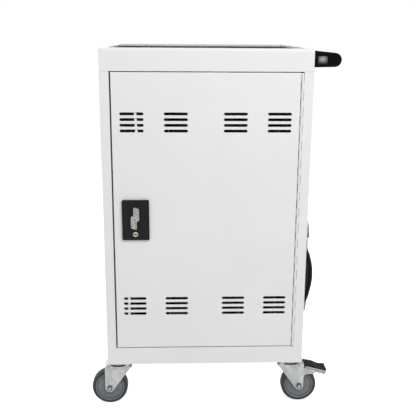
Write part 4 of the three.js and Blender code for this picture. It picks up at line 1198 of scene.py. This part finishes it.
def add_caster_details():
    """The plates' bolt heads, the bead round each swivel and the axles' ends."""
    for place in CASTERS:
        low, high = box_of(f"{place}_caster_plate")
        middle = (low + high) / 2
        under = high.z - PLATE_SHEET
        bolts = bmesh.new()
        for x in (-BOLT_X, BOLT_X):
            for y in (-BOLT_Y, BOLT_Y):
                spot = move((middle.x + x, middle.y + y, under))
                add_shape(bolts, turned(BOLT_HEAD, BOLT_SIDES), spot @ UPSIDE_DOWN)
        to_piece(f"{place}_bolts", bolts, "cabinet", "zinc_steel")
        bead = spin(RACE_BEAD, RACE_SIDES)
        bead.transform(move((middle.x, middle.y, under)))
        to_piece(f"{place}_race_bead", bead, f"{place}_swivel", "zinc_steel")
        add_axle_ends(place)


def add_axle_ends(place):
    """Bright domed ends on the wheel's bolt, whose darker zinc is painted shade."""
    node = f"{place}_caster_axle"
    nodes[node].material_slots[0].material = materials["shade_darkened_zinc"]
    low, high = box_of(node)
    middle = (low + high) / 2
    shape = bmesh.new()
    for y, turn in ((high.y, ALONG_Y), (low.y, ALONG_Y @ UPSIDE_DOWN)):
        dome = turned(AXLE_DOME, SMALL_SIDES)
        add_shape(shape, dome, move((middle.x, y, middle.z)) @ turn)
    to_piece(f"{place}_axle_ends", shape, f"{place}_swivel", "zinc_steel")


def pedal_lips():
    """The lever's upturned lips along both sides of its pad, drawn from the pad's heel."""
    shape = bmesh.new()
    side = rounded(LIP_ENDS, LIP_LEVELS, LIP_CORNER)
    for y in (-LIP_SHEET, 2 * PAD_HALF_WIDTH):
        add_shape(shape, plate(side, [], LIP_SHEET), move((0.0, y, 0.0)))
    return shape


def add_pedals():
    """The brake pedals' rubber pads, ridged at the heel and raised at the toe, and the lips beside them."""
    slope = math.atan2(PAD_TIP[1] - PAD_HEEL[1], PAD_TIP[0] - PAD_HEEL[0])
    length = PAD_TOP[-1][0]
    outline = [(0.0, -PAD_THICKNESS), (length, -PAD_THICKNESS), *reversed(PAD_TOP)]
    for place in BRAKED:
        swivel = middle_of(f"{place}_caster_plate")
        heel = (swivel.x + PAD_HEEL[0], swivel.y - PAD_HALF_WIDTH, BODY_BOTTOM + PAD_HEEL[1])
        turn = move(heel) @ Matrix.Rotation(-slope, 4, "Y")
        body = f"{place}_brake"
        shape = plate(outline, [], 2 * PAD_HALF_WIDTH)
        shape.transform(turn)
        node = f"{place}_brake_pad"
        pad = to_piece(f"{place}_pedal_pad", shape, body, "pad_rubber", [node])
        round_edges(pad, PAD_EDGE)
        lips = pedal_lips()
        lips.transform(turn)
        to_piece(f"{place}_pedal_rim", lips, body, "zinc_steel")


# Stage and light
def lit_by_camera(tree, plain, seen):
    """A shader that is one thing to light and another to camera, mirror and glass rays."""
    path = add_node(tree, "LightPath", {})
    share = path["Is Camera Ray"]
    for ray in ("Is Glossy Ray", "Is Transmission Ray"):
        share = add_node(tree, "Math", {0: share, 1: path[ray]}, operation="MAXIMUM")["Value"]
    return add_node(tree, "MixShader", {0: share, 1: plain, 2: seen})["Shader"]


def add_world():
    world = bpy.data.worlds.new("studio")
    bpy.context.scene.world = world
    world.use_nodes = True
    tree = world.node_tree
    plain = tree.nodes["Background"]
    set_inputs(tree, plain, {"Color": WHITE, "Strength": WORLD_LIGHT})
    seen = add_node(tree, "Background", {"Color": WHITE, "Strength": 1.0})
    shader = lit_by_camera(tree, plain.outputs["Background"], seen["Background"])
    set_inputs(tree, tree.nodes["World Output"], {"Surface": shader})


def floor_paper():
    """Pale paper that glows to the camera, so that it is white round the shadow."""
    material, tree, shader = new_material("floor_paper", specular=0.0)
    set_inputs(tree, shader, {"Base Color": FLOOR_COLOUR, "Roughness": 1.0})
    paper = shader.outputs["BSDF"]
    glow = add_node(tree, "Emission", {"Strength": FLOOR_GLOW})["Emission"]
    both = add_node(tree, "AddShader", {0: paper, 1: glow})["Shader"]
    set_inputs(tree, tree.nodes["Material Output"], {"Surface": lit_by_camera(tree, paper, both)})
    return material


def add_floor():
    shape = bmesh.new()
    bmesh.ops.create_grid(shape, x_segments=1, y_segments=1, size=FLOOR_HALF)
    mesh = bpy.data.meshes.new("floor")
    shape.to_mesh(mesh)
    shape.free()
    floor = new_object("floor", mesh)
    mesh.materials.append(floor_paper())


def add_lamp(name, place, target, size, power):
    data = bpy.data.lights.new(name, "AREA")
    data.shape = "RECTANGLE"
    data.size, data.size_y = size
    data.energy = power
    lamp = new_object(name, data)
    lamp.location = place
    lamp.rotation_euler = (Vector(target) - Vector(place)).to_track_quat("-Z", "Y").to_euler()


def build():
    bpy.context.scene.view_settings.view_transform = "Standard"
    add_camera()
    add_cord()
    dress_cad()
    add_wheels()
    add_doors()
    add_hinges()
    add_lock_plate()
    add_knob()
    add_key()
    add_rod_straps()
    add_caps()
    add_grip()
    add_mat()
    add_outlets()
    add_hook_screws()
    add_caster_details()
    add_pedals()
    add_world()
    add_floor()
    for lamp in LAMPS:
        add_lamp(*lamp)


build()
